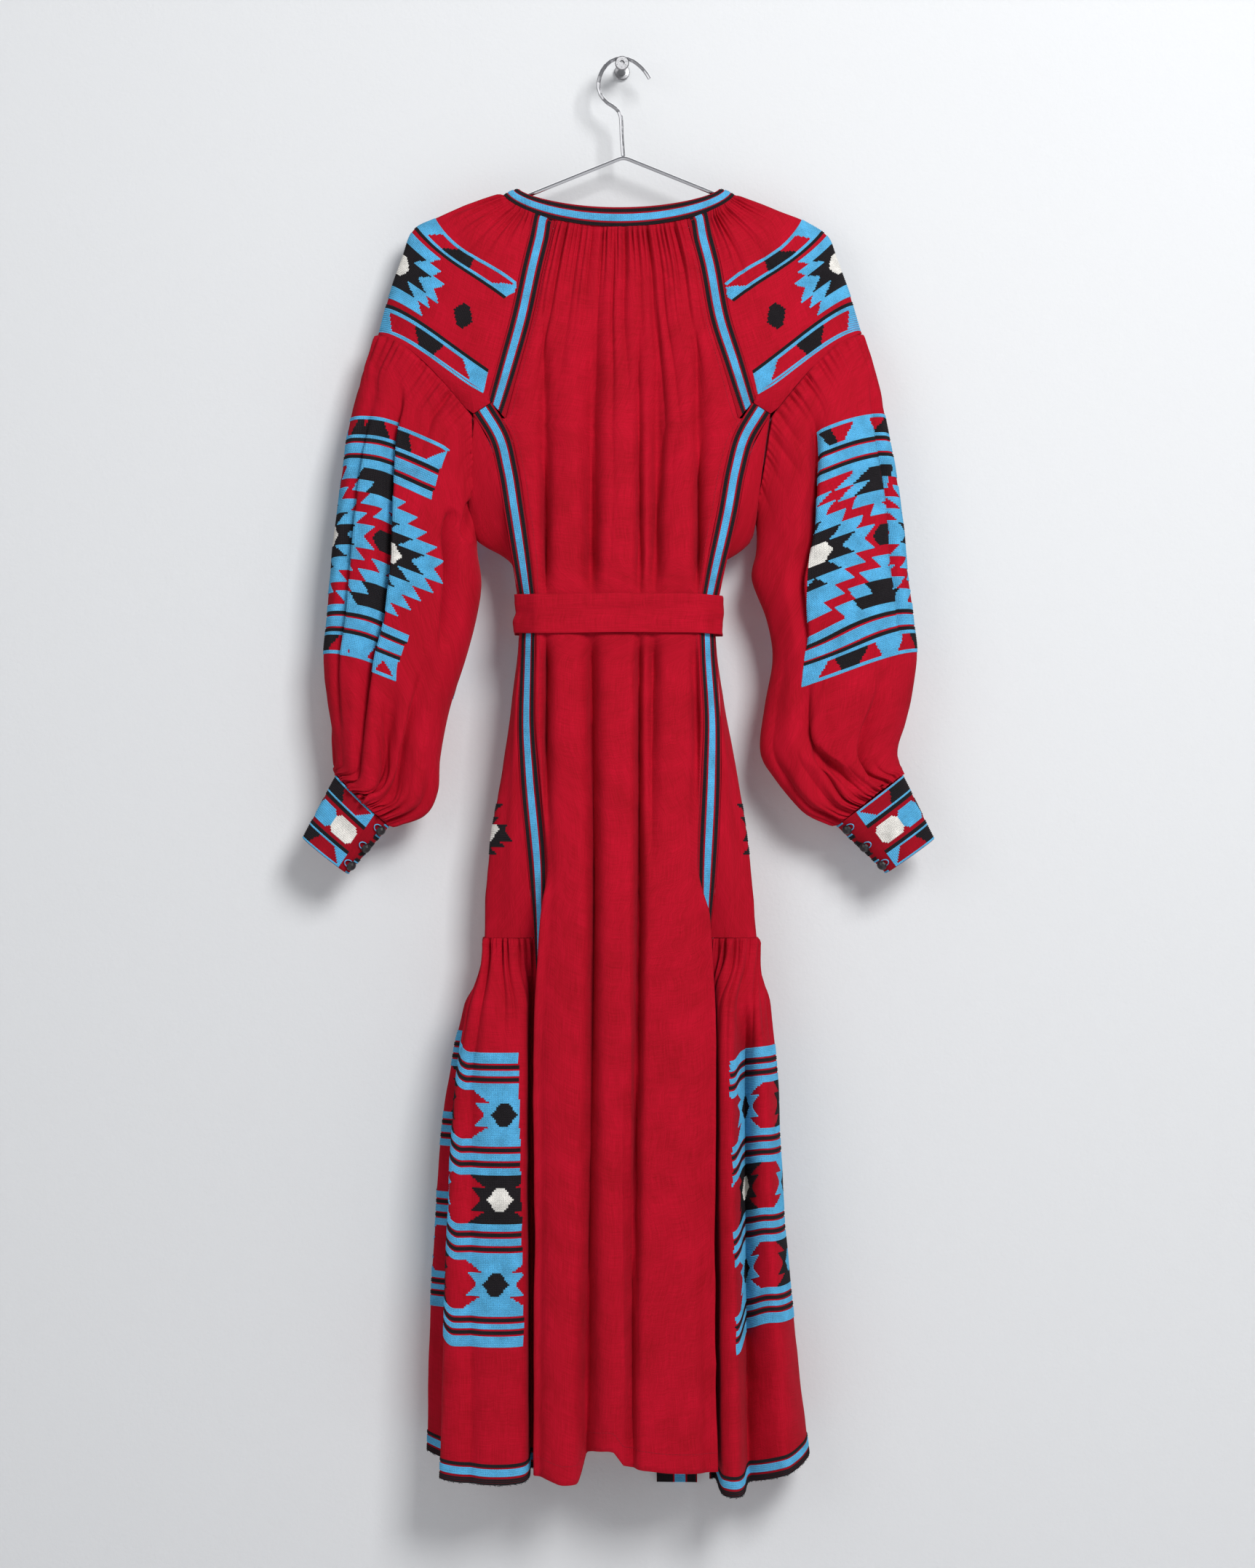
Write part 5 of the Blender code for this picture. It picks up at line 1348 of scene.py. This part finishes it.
# %% [markdown]
# ## Counting the chart out on the cloth
#
# On real cloth each stitch covers the same few threads. A pattern laid on with a UV map would stretch with
# the net, but stitches counted along the cloth keep their size. `lay` walks along rows of stitches on a
# grid. A row is given by the fractional grid row at each grid column, and its first stitch by an anchor.
# Steps along the row are a stitch's pitch of arc, so the chart bends with the folds. A deep fold can
# swallow columns of the chart.

# %% Laying stitches
def pick(grid, rows, columns):
    """Values of a grid at fractional rows and columns."""
    r = np.clip(rows, 0, grid.shape[0] - 1.001)
    c = np.clip(columns, 0, grid.shape[1] - 1.001)
    i, j = r.astype(int), c.astype(int)
    a, b = (r - i)[:, None], (c - j)[:, None]
    upper = grid[i, j] * (1 - b) + grid[i, j + 1] * b
    lower = grid[i + 1, j] * (1 - b) + grid[i + 1, j + 1] * b
    return upper * (1 - a) + lower * a


# Half the length of cloth from which a stitch takes its run.
RUN_REACH = 0.6


def lay(piece, rows, anchors, span, chart, pitch=PITCH, swallow=(), ends=None):
    """Stitches of a chart: their places, facings, run along the row and shades. Each pair in swallow has
    a fold's column in each row and the count of the chart's columns that it takes up."""
    grid, hint = piece
    facing = normals_of(grid, hint)
    columns = np.arange(grid.shape[1], dtype=float)
    found = []
    for j, line in enumerate(rows):
        points = pick(grid, line, columns)
        faces = pick(facing, line, columns)
        arc = np.concatenate([[0], np.cumsum(np.linalg.norm(np.diff(points, axis=0), axis=1))])
        start = np.interp(anchors[j], columns, arc)
        steps = np.arange(span[0], span[1] + 1)
        places = start + steps * pitch
        first = pitch / 2 if ends is None else np.interp(ends[j], columns, arc)
        keep = (places > first) & (places < arc[-1] - pitch / 2)
        steps, places = steps[keep], places[keep]
        if len(steps) == 0:
            continue
        counted = steps.copy()
        for creases, count in swallow:
            crease = np.interp(creases[j], columns, arc)
            counted = counted + np.where(places > crease, count, 0) * (1 if crease > start else 0)
            counted = counted - np.where(places < crease, count, 0) * (1 if crease <= start else 0)
        shades = chart(counted, j)
        keep = shades != NONE
        if not keep.any():
            continue
        places, shades = places[keep], shades[keep]
        middle, face = at_lengths(points, arc, places), at_lengths(faces, arc, places)
        run = at_lengths(points, arc, places + RUN_REACH) - at_lengths(points, arc, places - RUN_REACH)
        found.append(np.concatenate([middle, unit(face), unit(run), shades[:, None]], axis=1))
    return np.concatenate(found)


print("stitches are counted out at a pitch of", PITCH, "mm")

# %% Rows and columns of stitches
def level_rows(grid, tops, foots, count):
    """Fractional grid rows of count rows of stitches between two heights given for each column."""
    share = np.linspace(0, 1, count)[:, None]
    heights = tops * (1 - share) + foots * share
    found = np.empty_like(heights)
    for c in range(grid.shape[1]):
        found[:, c] = np.interp(-heights[:, c], -grid[:, c, 2], np.arange(len(grid)))
    return found


def even_rows(grid, count, first, last):
    """Fractional grid rows of count rows of stitches, spaced evenly from a first to a last grid row."""
    return np.repeat(np.linspace(first, last, count)[:, None], grid.shape[1], axis=1)


def steadied(found):
    """Smooths a line of columns down the rows, after a median has taken out its jumps."""
    wide = np.pad(found, 12, mode="edge")
    steady = [np.median(wide[k:k + 25]) for k in range(len(found))]
    return np.convolve(np.pad(steady, 6, mode="edge"), np.ones(13) / 13, mode="valid")


def columns_at(grid, rows, x, deepest=False):
    """Fractional columns where each row of stitches crosses a given x on its near side, or where the
    fold close to that x is deepest, smoothed down the rows."""
    found = []
    columns = np.arange(grid.shape[1], dtype=float)
    for line, at in zip(rows, x):
        points = pick(grid, line, columns)
        near = points[:, 1] < np.median(points[:, 1]) + 8
        gap = np.where(near, np.abs(points[:, 0] - at), 1e3)
        if deepest:
            found.append(float(np.argmax(np.where(gap < 14, points[:, 1], -1e3))))
        else:
            found.append(float(np.argmin(gap)))
    return steadied(found)


trim_net = trims["left"][0]
trim_rows = even_rows(trim_net, len(TRIM_STACK), 0, len(trim_net) - 1)[:, 0]
print("grid rows of a trim's rows of stitches:", trim_rows.round(1).tolist())

# %% [markdown]
# ### Stitches of the tapes, the collar, the front band and the hem trims
#
# The tapes and trims have stripes of blue and black stitches. Coloured lines in the material would be less
# work, but the light would slide over them, and real stitches break it up. A strip's chart has one letter for
# each stitch across it. The trims' lower edge is fluffy, so short black hairs are strewn there from a fixed
# seed.

# %% Tape and band stitches
STITCHES, FUZZ = {}, {}


def crosswise(stack):
    """A chart whose stripes run down the strip: the shade depends on the column alone."""
    return lambda column, row: stripes(stack, column)


def strip_rows(grid, pitch=PITCH):
    """Fractional grid rows a pitch apart, all the way down a strip."""
    length = arcs(grid)[1][-1].mean()
    count = int(length / pitch)
    share = (np.arange(count) + 0.5) / count
    down = arcs(grid)[1].mean(axis=1) / length
    return np.repeat(np.interp(share, down, np.arange(len(grid)))[:, None], grid.shape[1], axis=1)


margin = (TAPE_WIDTH - len(TAPE_STACK) * PITCH) / 2 + PITCH / 2
for key, tape in tapes.items():
    rows = strip_rows(tape[0])
    first = margin / TAPE_WIDTH * (tape[0].shape[1] - 1)
    STITCHES[key] = lay(tape, rows, [first] * len(rows), (0, 9), crosswise(TAPE_STACK))
rows = strip_rows(front_band)
STITCHES["front_band"] = lay((front_band, (0, 1, 0)), rows, [0.5] * len(rows), (0, 22), crosswise(BAND_STACK))
# Below the back hem the band's other side shows too.
low = rows[rows[:, 0] > len(front_band) - 14]
STITCHES["front_band_reverse"] = lay((front_band, (0, -1, 0)), low, [0.5] * len(low), (0, 22),
                                     crosswise(BAND_STACK))
print(sum(len(s) for s in STITCHES.values()), "stitches so far")

# %% Collar and hem stitches
def banded(stack):
    """A chart whose stripes run along the rows: the shade depends on the row alone."""
    return lambda column, row: np.full(len(column), LETTERS[stack[row]])


rows = even_rows(collar[0], len(COLLAR_STACK), 0.4, len(collar[0]) - 1.4)
STITCHES["collar"] = lay(collar, rows, [120] * len(rows), (-260, 260), banded(COLLAR_STACK))
for name in SIDES:
    rows = even_rows(trims[name][0], len(TRIM_STACK), 0.4, len(trims[name][0]) - 1.4)
    STITCHES[f"hem_trim_{name}"] = lay(trims[name], rows, [105] * len(rows), (-260, 260), banded(TRIM_STACK))
    ragged = lay(trims[name], rows[-1:], [105], (-700, 700), banded("K"), pitch=0.7)
    spread = np.random.default_rng(23).random((len(ragged), 3))
    ragged[:, :3] += (spread - (0.5, 0.5, 0.2)) * (0.8, 0.8, -2.4)
    ragged[:, 6:9] = unit(ragged[:, 6:9] + (spread - 0.5) * 1.2)
    FUZZ[f"hem_trim_{name}"] = ragged
print(sum(len(s) for s in STITCHES.values()), "stitches so far")

# %% [markdown]
# ### Topstitching
#
# On the dress a line of red thread runs down the back panel beside each tape and another holds its hem. The
# same `lay` sets these stitches: down an edge it takes one stitch from each row, and along the hem it takes
# one row of them. They are real stitches, not a drawn line, so they catch the light like the others.

# %% Topstitches
SEAM_STITCH, HEM_DEPTH, SEAM_COLUMN = 3.4, 19.0, 4


def red_thread(column, row):
    return np.full(len(column), RED_THREAD)


SEAMS = {}
back_piece = (back_grid, back_hint)
down_rows = strip_rows(back_grid, SEAM_STITCH)
for name, column in (("left", SEAM_COLUMN), ("right", back_grid.shape[1] - 1 - SEAM_COLUMN)):
    beside = lay(back_piece, down_rows, [column] * len(down_rows), (0, 0), red_thread)
    beside[:, 6:9] = np.gradient(beside[:, :3], axis=0)
    beside[:, 6:9] = unit(beside[:, 6:9])
    SEAMS[f"beside_{name}_tape"] = beside
down = arcs(back_grid)[1].mean(axis=1)
hem_row = np.interp(down[-1] - HEM_DEPTH, down, np.arange(len(back_grid)))
hem_rows = np.full((1, back_grid.shape[1]), hem_row)
SEAMS["back_hem"] = lay(back_piece, hem_rows, [100], (-60, 60), red_thread, pitch=SEAM_STITCH)
print("topstitches:", {key: len(found) for key, found in SEAMS.items()})

# %% [markdown]
# ### Shoulders, sleeves, cuffs and tiers
#
# The wide panels have medallions, stars and trapezoids. On the dress they were sewn on flat cloth, so where a
# deep fold hides cloth it hides part of the pattern too. An even spread of the pattern over the outside would
# miss that. Each panel is held in place by the heights of its first and last rows and by the x of one
# medallion or star, and the chart skips the columns that a fold swallows.

# %% Shoulder stitches
for name in SIDES:
    grid = shoulders[name][0]
    count = 2 * len(SHOULDER_TOP) + SHOULDER_FIELD
    rows = even_rows(grid, count, 0.375 * (len(grid) - 1), 0.985 * (len(grid) - 1))
    ridge = (grid.shape[1] - 1) / 2
    STITCHES[f"shoulder_{name}"] = lay(shoulders[name], rows, [ridge] * count, (-76, 76), shoulder_chart)
print(sum(len(s) for s in STITCHES.values()), "stitches so far")

# %% Sleeve stitches
# Heights of a sleeve panel's first and last rows. Columns: outer edge, inner edge.
PANEL_HEIGHTS = {"left": ((-365, -424), (-606, -652)), "right": ((-362, -420), (-604, -648))}
# Where the medallion stands. Columns: x of its middle at the first and last row, whether that is in
# the long fold, the panel's end past the middle at its first and last row and in its field, and the
# columns that the fold swallows.
MEDALLION = {"left": ((-233, -256), True, (29, 17, 34), 26), "right": ((204, 190), False, (4, 4, 4), 0)}
FOLD_LIP = 10
# x of the left sleeve's outer fold at the panel's first and last row, and the columns that it gives back.
OUTER_FOLD, OUTER_COLUMNS = (-263, -278), 6

for name in SIDES:
    grid = sleeves[name][0]
    turn = np.cos(np.linspace(-math.pi, math.pi, grid.shape[1]))
    (top_outer, top_inner), (foot_outer, foot_inner) = PANEL_HEIGHTS[name]
    tops = top_inner + (top_outer - top_inner) * (turn + 1) / 2
    foots = foot_inner + (foot_outer - foot_inner) * (turn + 1) / 2
    count = 2 * len(SLEEVE_TOP) + SLEEVE_FIELD
    rows = level_rows(grid, tops, foots, count)
    (x_top, x_foot), in_fold, (stop_top, stop_foot, stop_field), hidden = MEDALLION[name]
    line = np.linspace(x_top, x_foot, count)
    if in_fold:
        anchors = columns_at(grid, rows, line, deepest=True) + FOLD_LIP
        outer_fold = columns_at(grid, rows, np.linspace(*OUTER_FOLD, count))
        swallow = ((anchors - FOLD_LIP - 0.01, hidden), (outer_fold, -OUTER_COLUMNS))
    else:
        anchors, swallow = columns_at(grid, rows, line), ()
    stops = np.linspace(stop_top, stop_foot, count)
    STITCHES[f"sleeve_{name}"] = lay(sleeves[name], rows, anchors, (-150, 40),
                                     lambda column, row: sleeve_chart(column, row, stops[row], stop_field),
                                     swallow=swallow)
print(sum(len(s) for s in STITCHES.values()), "stitches so far")

# %% Cuff stitches
# Grid columns from the slit to a cuff's anchor.
CUFF_MARGIN = 15


def slit_column(grid):
    """The grid column of a cuff's slit."""
    return round((grid.shape[1] - 1) * BUTTON_ANGLE / 360)


for name in SIDES:
    grid = cuffs[name][0]
    count = len(CUFF_STACK)
    rows = even_rows(grid, count, 0.5, len(grid) - 1.5)
    opened = [np.roll(net[:, :-1], -slit_column(grid), axis=1) for net in cuffs[name]]
    anchor = opened[0].shape[1] - CUFF_MARGIN
    STITCHES[f"cuff_{name}"] = lay(opened, rows[:, 1:], [anchor] * count, (-92, 9),
                                   lambda column, row: cuff_chart(column - 9, row))

print(sum(len(s) for s in STITCHES.values()), "stitches so far")

# %% Hip stitches
# Half of a star shows at each hip, where the side panel turns away.
HIP = -786
for name, side in SIDES.items():
    grid = side_panels[name][0]
    top = np.full(grid.shape[1], HIP + STAR_ROWS * PITCH / 2)
    rows = level_rows(grid, top, top - STAR_ROWS * PITCH, STAR_ROWS)
    columns = np.arange(grid.shape[1], dtype=float)
    turn = [float(np.argmax(side * pick(grid, line, columns)[:, 0])) for line in rows]
    STITCHES[f"hip_{name}"] = lay(side_panels[name], rows, turn, (-22, 22),
                                  lambda column, row: star(column, row - (STAR_ROWS - 1) / 2, BLACK, WHITE))

print(sum(len(s) for s in STITCHES.values()), "stitches so far")

# %% Tier stitches
# Where a tier's panel starts. Columns: height of its first row, x of a star's middle at the first and last
# rows, x of the panel's inner edge at the first and last rows.
TIER_PLACES = {"left": (-1012, -116, -130, -104.6, -98.6), "right": (-1021, 126, 126, 108.4, 115)}
TIER_PITCH = 1.8
# Shares of the tier's breadth between which its near face turns away.
TIER_RIDGE = {"left": (0.40, 0.52), "right": (0.24, 0.52)}
# How much higher the panel hangs past the near face, at its first and last row.
TIER_LIFT = {"left": (18, 30), "right": (14, 30)}
for name in SIDES:
    grid = tiers[name][0]
    top, star_first, star_last, edge_first, edge_last = TIER_PLACES[name]
    place = np.linspace(0, 1, grid.shape[1])
    past = ramp(place, *TIER_RIDGE[name])
    lift_first, lift_last = TIER_LIFT[name]
    foot = top - TIER_ROWS * TIER_PITCH
    rows = level_rows(grid, top + lift_first * past, foot + lift_last * past, TIER_ROWS)
    anchors = columns_at(grid, rows, np.linspace(star_first, star_last, TIER_ROWS))
    edges = columns_at(grid, rows, np.linspace(edge_first, edge_last, TIER_ROWS))
    STITCHES[f"tier_{name}"] = lay(tiers[name], rows, anchors, (-30, 220), tier_chart, ends=edges)
print(sum(len(s) for s in STITCHES.values()), "stitches in all")

# %% [markdown]
# ## The stitch
#
# A cross-stitch is two short threads crossed over each other. Two bent tubes for each stitch would be
# closer to the truth, but with so many stitches they would be far too many faces. One small tree of Geometry
# Nodes sets a low four-sided peak on each point instead. Its four ridges lie along the diagonals, like the
# two crossed threads. The points carry the facing, the run and the shade.

# %% Stitch tree
def stitch_tree():
    tree = bpy.data.node_groups.new("Cross stitch", "GeometryNodeTree")
    face = tree.interface
    face.new_socket("Points", in_out="INPUT", socket_type="NodeSocketGeometry")
    sizes = {"Width": 1.9, "Height": 0.75, "Length": 1.9}
    for key, value in sizes.items():
        face.new_socket(key, in_out="INPUT", socket_type="NodeSocketFloat").default_value = value * MM
    face.new_socket("Material", in_out="INPUT", socket_type="NodeSocketMaterial")
    face.new_socket("Stitches", in_out="OUTPUT", socket_type="NodeSocketGeometry")
    come, go = tree.nodes.new("NodeGroupInput"), tree.nodes.new("NodeGroupOutput")
    peak = add(tree, "GeometryNodeMeshCone", {"Vertices": 4, "Radius Top": 0.0, "Radius Bottom": 0.7071,
                                              "Depth": 1.0}, fill_type="NONE")
    turned = add(tree, "GeometryNodeTransform", {"Geometry": peak.outputs["Mesh"],
                                                 "Rotation": (0, 0, math.pi / 4)})
    facing = add(tree, "GeometryNodeInputNamedAttribute", {"Name": "facing"}, data_type="FLOAT_VECTOR")
    along = add(tree, "GeometryNodeInputNamedAttribute", {"Name": "along"}, data_type="FLOAT_VECTOR")
    axes = add(tree, "FunctionNodeAxesToRotation", {"Primary Axis": facing.outputs[0],
                                                    "Secondary Axis": along.outputs[0]})
    size = add(tree, "ShaderNodeCombineXYZ", {"X": come.outputs["Length"], "Y": come.outputs["Width"],
                                              "Z": come.outputs["Height"]})
    placed = add(tree, "GeometryNodeInstanceOnPoints", {
        "Points": come.outputs["Points"], "Instance": turned.outputs[0],
        "Rotation": axes.outputs[0], "Scale": size.outputs[0]})
    real = add(tree, "GeometryNodeRealizeInstances", {"Geometry": placed.outputs[0]})
    painted = add(tree, "GeometryNodeSetMaterial", {"Geometry": real.outputs[0],
                                                    "Material": come.outputs["Material"]})
    tree.links.new(painted.outputs[0], go.inputs[0])
    return tree


STITCH = stitch_tree()
print("stitch tree:", len(STITCH.nodes), "nodes")

# %% Sewing
def sew(name, found, length, width, height):
    """Turns rows of place, facing, run and shade into a plain mesh of stitches."""
    mesh = bpy.data.meshes.new(name + "_points")
    mesh.from_pydata(((found[:, :3] + found[:, 3:6] * 0.15) * MM).tolist(), [], [])
    for key, values in (("facing", found[:, 3:6]), ("along", found[:, 6:9])):
        mesh.attributes.new(key, "FLOAT_VECTOR", "POINT").data.foreach_set("vector", values.ravel())
    mesh.attributes.new("shade", "FLOAT", "POINT").data.foreach_set("value", found[:, 9])
    holder = put(name, mesh)
    modifier = holder.modifiers.new("stitches", "NODES")
    modifier.node_group = STITCH
    wanted = {"Length": length * MM, "Width": width * MM, "Height": height * MM, "Material": YARN}
    for item in STITCH.interface.items_tree:
        if item.in_out == "INPUT" and item.name in wanted:
            modifier[item.identifier] = wanted[item.name]
    shape = holder.evaluated_get(bpy.context.evaluated_depsgraph_get())
    plain = bpy.data.meshes.new_from_object(shape)
    holder.modifiers.clear()
    holder.data = plain
    bpy.data.meshes.remove(mesh)
    for extra in ("facing", "along"):
        if extra in plain.attributes:
            plain.attributes.remove(plain.attributes[extra])
    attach(holder, "root")
    return holder


# Columns: first word of the pieces' names, their stitches, length, width and height of one stitch.
KINDS = [
    ("stitches", STITCHES, 1.9, 1.9, 0.75),
    ("fuzz", FUZZ, 1.5, 0.45, 0.5),
    ("seam", SEAMS, 2.6, 0.7, 0.35),
]
sizes = []
for kind, pieces, length, width, height in KINDS:
    for name, found in pieces.items():
        sizes.append(len(sew(f"{kind}_{name}", found, length, width, height).data.polygons))
print(len(sizes), "stitched pieces,", sum(sizes), "triangles, the largest", max(sizes))

# %% [markdown]
# ### Button loops
#
# A cuff closes with loops of blue thread, each laid round the foot of its button and drawn towards the edge
# of the slit. A loop is a thin round cord on a closed oval path. It could be a curve with a bevel, but rings
# of points round the path make a plain mesh at once, and it can carry the yarn's shade as the stitches do.

# %% Loops
CORD, CORD_LIFT = 0.5, 1.2
LOOP_HALF_WIDTH, LOOP_HALF_LENGTH, LOOP_SHIFT = 3.4, 5.6, 2.8
LOOP_STEPS, CORD_SIDES = 28, 8


def button_loop(button, grid, slit):
    """The points of one loop, in rows of CORD_SIDES round its cord."""
    centre = np.array([button.matrix_world @ v.co for v in button.data.vertices]).mean(axis=0) / MM
    row = int(np.clip(np.linalg.norm(grid[:, slit] - centre, axis=1).argmin(), 1, len(grid) - 2))
    along = unit(grid[row + 1, slit] - grid[row - 1, slit])
    around = unit(grid[row, slit + 1] - grid[row, slit - 1])
    out = unit(centre - grid[row, slit])
    turn = np.linspace(0, 2 * math.pi, LOOP_STEPS, endpoint=False)[:, None]
    oval = along * np.cos(turn) * LOOP_HALF_WIDTH + around * np.sin(turn) * LOOP_HALF_LENGTH
    path = grid[row, slit] + out * CORD_LIFT - around * LOOP_SHIFT + oval
    away = unit(oval)
    round_cord = np.linspace(0, 2 * math.pi, CORD_SIDES, endpoint=False)
    flip = 1 if np.dot(np.cross(out, along), around) > 0 else -1
    return np.array([path + CORD * (away * math.cos(a) + out * flip * math.sin(a)) for a in round_cord])


for name in SIDES:
    grid = cuffs[name][0]
    points, faces = [], []
    buttons = [node for key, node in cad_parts.items() if key.startswith(f"cuff_button_{name}")]
    for button in buttons:
        loop = button_loop(button, grid, slit_column(grid))
        first = sum(len(p) for p in points)
        spot = first + np.arange(loop.shape[0] * LOOP_STEPS).reshape(loop.shape[:2])
        next_step, next_side = np.roll(spot, -1, axis=1), np.roll(spot, -1, axis=0)
        corner = np.roll(next_step, -1, axis=0)
        faces += np.stack([spot, next_step, corner, next_side], axis=-1).reshape(-1, 4).tolist()
        points.append(loop.reshape(-1, 3))
    mesh = bpy.data.meshes.new(f"button_loops_{name}")
    mesh.from_pydata((np.concatenate(points) * MM).tolist(), [], faces)
    mesh.shade_smooth()
    mesh.materials.append(YARN)
    shade = mesh.attributes.new("shade", "FLOAT", "POINT")
    shade.data.foreach_set("value", np.full(len(mesh.vertices), float(BLUE)))
    loops = put(f"button_loops_{name}", mesh)
    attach(loops, "root")
    print(loops.name, len(mesh.polygons), "faces")

# %% [markdown]
# ## Buttons, hanger and peg
#
# The small domed buttons, the wire hanger and the steel peg already have their form in the frame's solids.
# They could be built again in finer shape, but they are small and plain, so they only get materials here and
# smooth shading up to an angle. Fine noise in the roughness stands for scratches.

# %% Metal and button
def metal(name, colour, roughness, scratches):
    made, tree, shader = tree_of(name)
    marks = grain(tree, own_place(tree), scratches, 4.0)
    rough = add(tree, "ShaderNodeMapRange", {0: marks, 1: 0.3, 2: 0.7,
                                             3: roughness * 0.7, 4: roughness * 1.4})
    tone = add(tree, "ShaderNodeMix", {0: marks, 6: (*[c * 0.85 for c in colour], 1), 7: (*colour, 1)},
               data_type="RGBA")
    tree.links.new(rough.outputs[0], shader.inputs["Roughness"])
    tree.links.new(tone.outputs[2], shader.inputs["Base Color"])
    shader.inputs["Metallic"].default_value = 1.0
    return made


CHROME = metal("chrome wire", (0.62, 0.62, 0.64), 0.16, 300.0)
STEEL = metal("satin steel", (0.42, 0.42, 0.43), 0.36, 900.0)
button_material, button_tree, button_shader = tree_of("black button")
button_marks = grain(button_tree, own_place(button_tree), 700.0, 3.0)
button_rough = add(button_tree, "ShaderNodeMapRange", {0: button_marks, 3: 0.25, 4: 0.5})
button_tree.links.new(button_rough.outputs[0], button_shader.inputs["Roughness"])
button_shader.inputs["Base Color"].default_value = (0.012, 0.011, 0.013, 1)
for name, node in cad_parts.items():
    chosen = {"hanger_arms": CHROME, "hanger_hook": CHROME, "wall_peg": STEEL}.get(name)
    if name.startswith("cuff_button"):
        chosen = button_material
    if chosen:
        node.data.materials.clear()
        node.data.materials.append(chosen)
        node.data.shade_smooth()
        node.data.set_sharp_from_angle(angle=math.radians(40))
print("metal and button materials are on")

# %% [markdown]
# ## Stage, light and camera
#
# The dress hangs on a pale wall in soft light from the upper right. A picture of a room or a sky could light
# it, but a plain wall, a pale world and three square lamps do the same and can be moved. The wall is clear
# from behind, so the dress can be seen from its other side too. The camera's lens follows from the scale.

# %% Wall and floor
def plain(name, colour, roughness):
    made, tree, shader = tree_of(name)
    bumped(tree, grain(tree, own_place(tree), 260.0, 5.0), 0.25, 0.001)
    shader.inputs["Base Color"].default_value = (*colour, 1)
    shader.inputs["Roughness"].default_value = roughness
    return made, tree, shader


wall_material, wall_tree, wall_shader = plain("wall paint", (0.655, 0.665, 0.675), 0.9)
side_seen = add(wall_tree, "ShaderNodeNewGeometry")
clear = add(wall_tree, "ShaderNodeBsdfTransparent")
either = add(wall_tree, "ShaderNodeMixShader", {0: side_seen.outputs["Backfacing"]})
wall_tree.links.new(wall_shader.outputs[0], either.inputs[1])
wall_tree.links.new(clear.outputs[0], either.inputs[2])
wall_tree.links.new(either.outputs[0], wall_tree.nodes["Material Output"].inputs["Surface"])

FLOOR_LEVEL = -1.75


def sheet_of_four(name, corners, material):
    """One flat face between four corners, in metres."""
    mesh = bpy.data.meshes.new(name)
    mesh.from_pydata(corners, [], [(0, 1, 2, 3)])
    mesh.materials.append(material)
    return put(name, mesh)


wall_corners = [(-6, 0.002, FLOOR_LEVEL), (6, 0.002, FLOOR_LEVEL), (6, 0.002, 4), (-6, 0.002, 4)]
wall_object = sheet_of_four("wall", wall_corners, wall_material)
floor_corners = [(x, y, FLOOR_LEVEL) for x, y in ((-8, -8), (8, -8), (8, 8), (-8, 8))]
floor_object = sheet_of_four("floor", floor_corners, plain("pale floor", (0.74, 0.74, 0.75), 0.8)[0])
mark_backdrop(wall_object, floor_object)
wall_object.visible_diffuse = False
wall_object.visible_glossy = False
wall_object.visible_shadow = False

# %% World, lamps and camera
world = bpy.data.worlds.new("studio")
bpy.context.scene.world = world
world.use_nodes = True
background = world.node_tree.nodes["Background"]
background.inputs["Color"].default_value = (0.93, 0.95, 1.0, 1)
background.inputs["Strength"].default_value = 0.29

# Lamps. Columns: name, place in metres, width and height in metres, watts.
LAMPS = [
    ("key", (1.25, -2.8, 1.05), (1.15, 1.15), 110),
    ("fill", (-2.6, -3.2, 0.2), (2.4, 2.4), 24),
    ("behind", (0.5, 2.6, 0.8), (2.5, 2.5), 30),
]
TARGET = (0.0, 0.0, -0.75)
for name, place, (width, height), watts in LAMPS:
    lamp = bpy.data.lights.new(name, "AREA")
    lamp.shape = "RECTANGLE"
    lamp.size, lamp.size_y = width, height
    lamp.energy = watts
    holder = put(name, lamp)
    holder.location = place
    aim = np.array(TARGET) - np.array(place)
    holder.rotation_euler = (math.acos(-aim[2] / np.linalg.norm(aim)), 0, math.atan2(-aim[0], aim[1]))

# Height of the photo in pixels, and the size of one of them at the dress.
PHOTO_HEIGHT, PIXEL = 2156, 0.74 * MM
# Metres from the camera to the wall and to the dress, and the height of its sensor in millimetres.
WALL_AWAY, DRESS_AWAY, SENSOR = 3.2, 3.13, 36
camera_data = bpy.data.cameras.new("camera")
camera_data.sensor_fit = "VERTICAL"
camera_data.sensor_width = camera_data.sensor_height = SENSOR
camera_data.lens = SENSOR * DRESS_AWAY / (PIXEL * PHOTO_HEIGHT)
camera = put("camera", camera_data)
camera.location = (0.0056, -WALL_AWAY, -0.740)
camera.rotation_euler = (math.pi / 2, 0, 0)
bpy.context.scene.camera = camera
bpy.context.scene.view_settings.view_transform = "Standard"
print("camera, lamps and stage are set")

# %% [markdown]
# ## The visual box
#
# The box round everything that renders, with the wall and floor left out, is printed in millimetres.

low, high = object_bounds()
print("visual box, mm:", [round(v * 1000) for v in (*low, *high)])
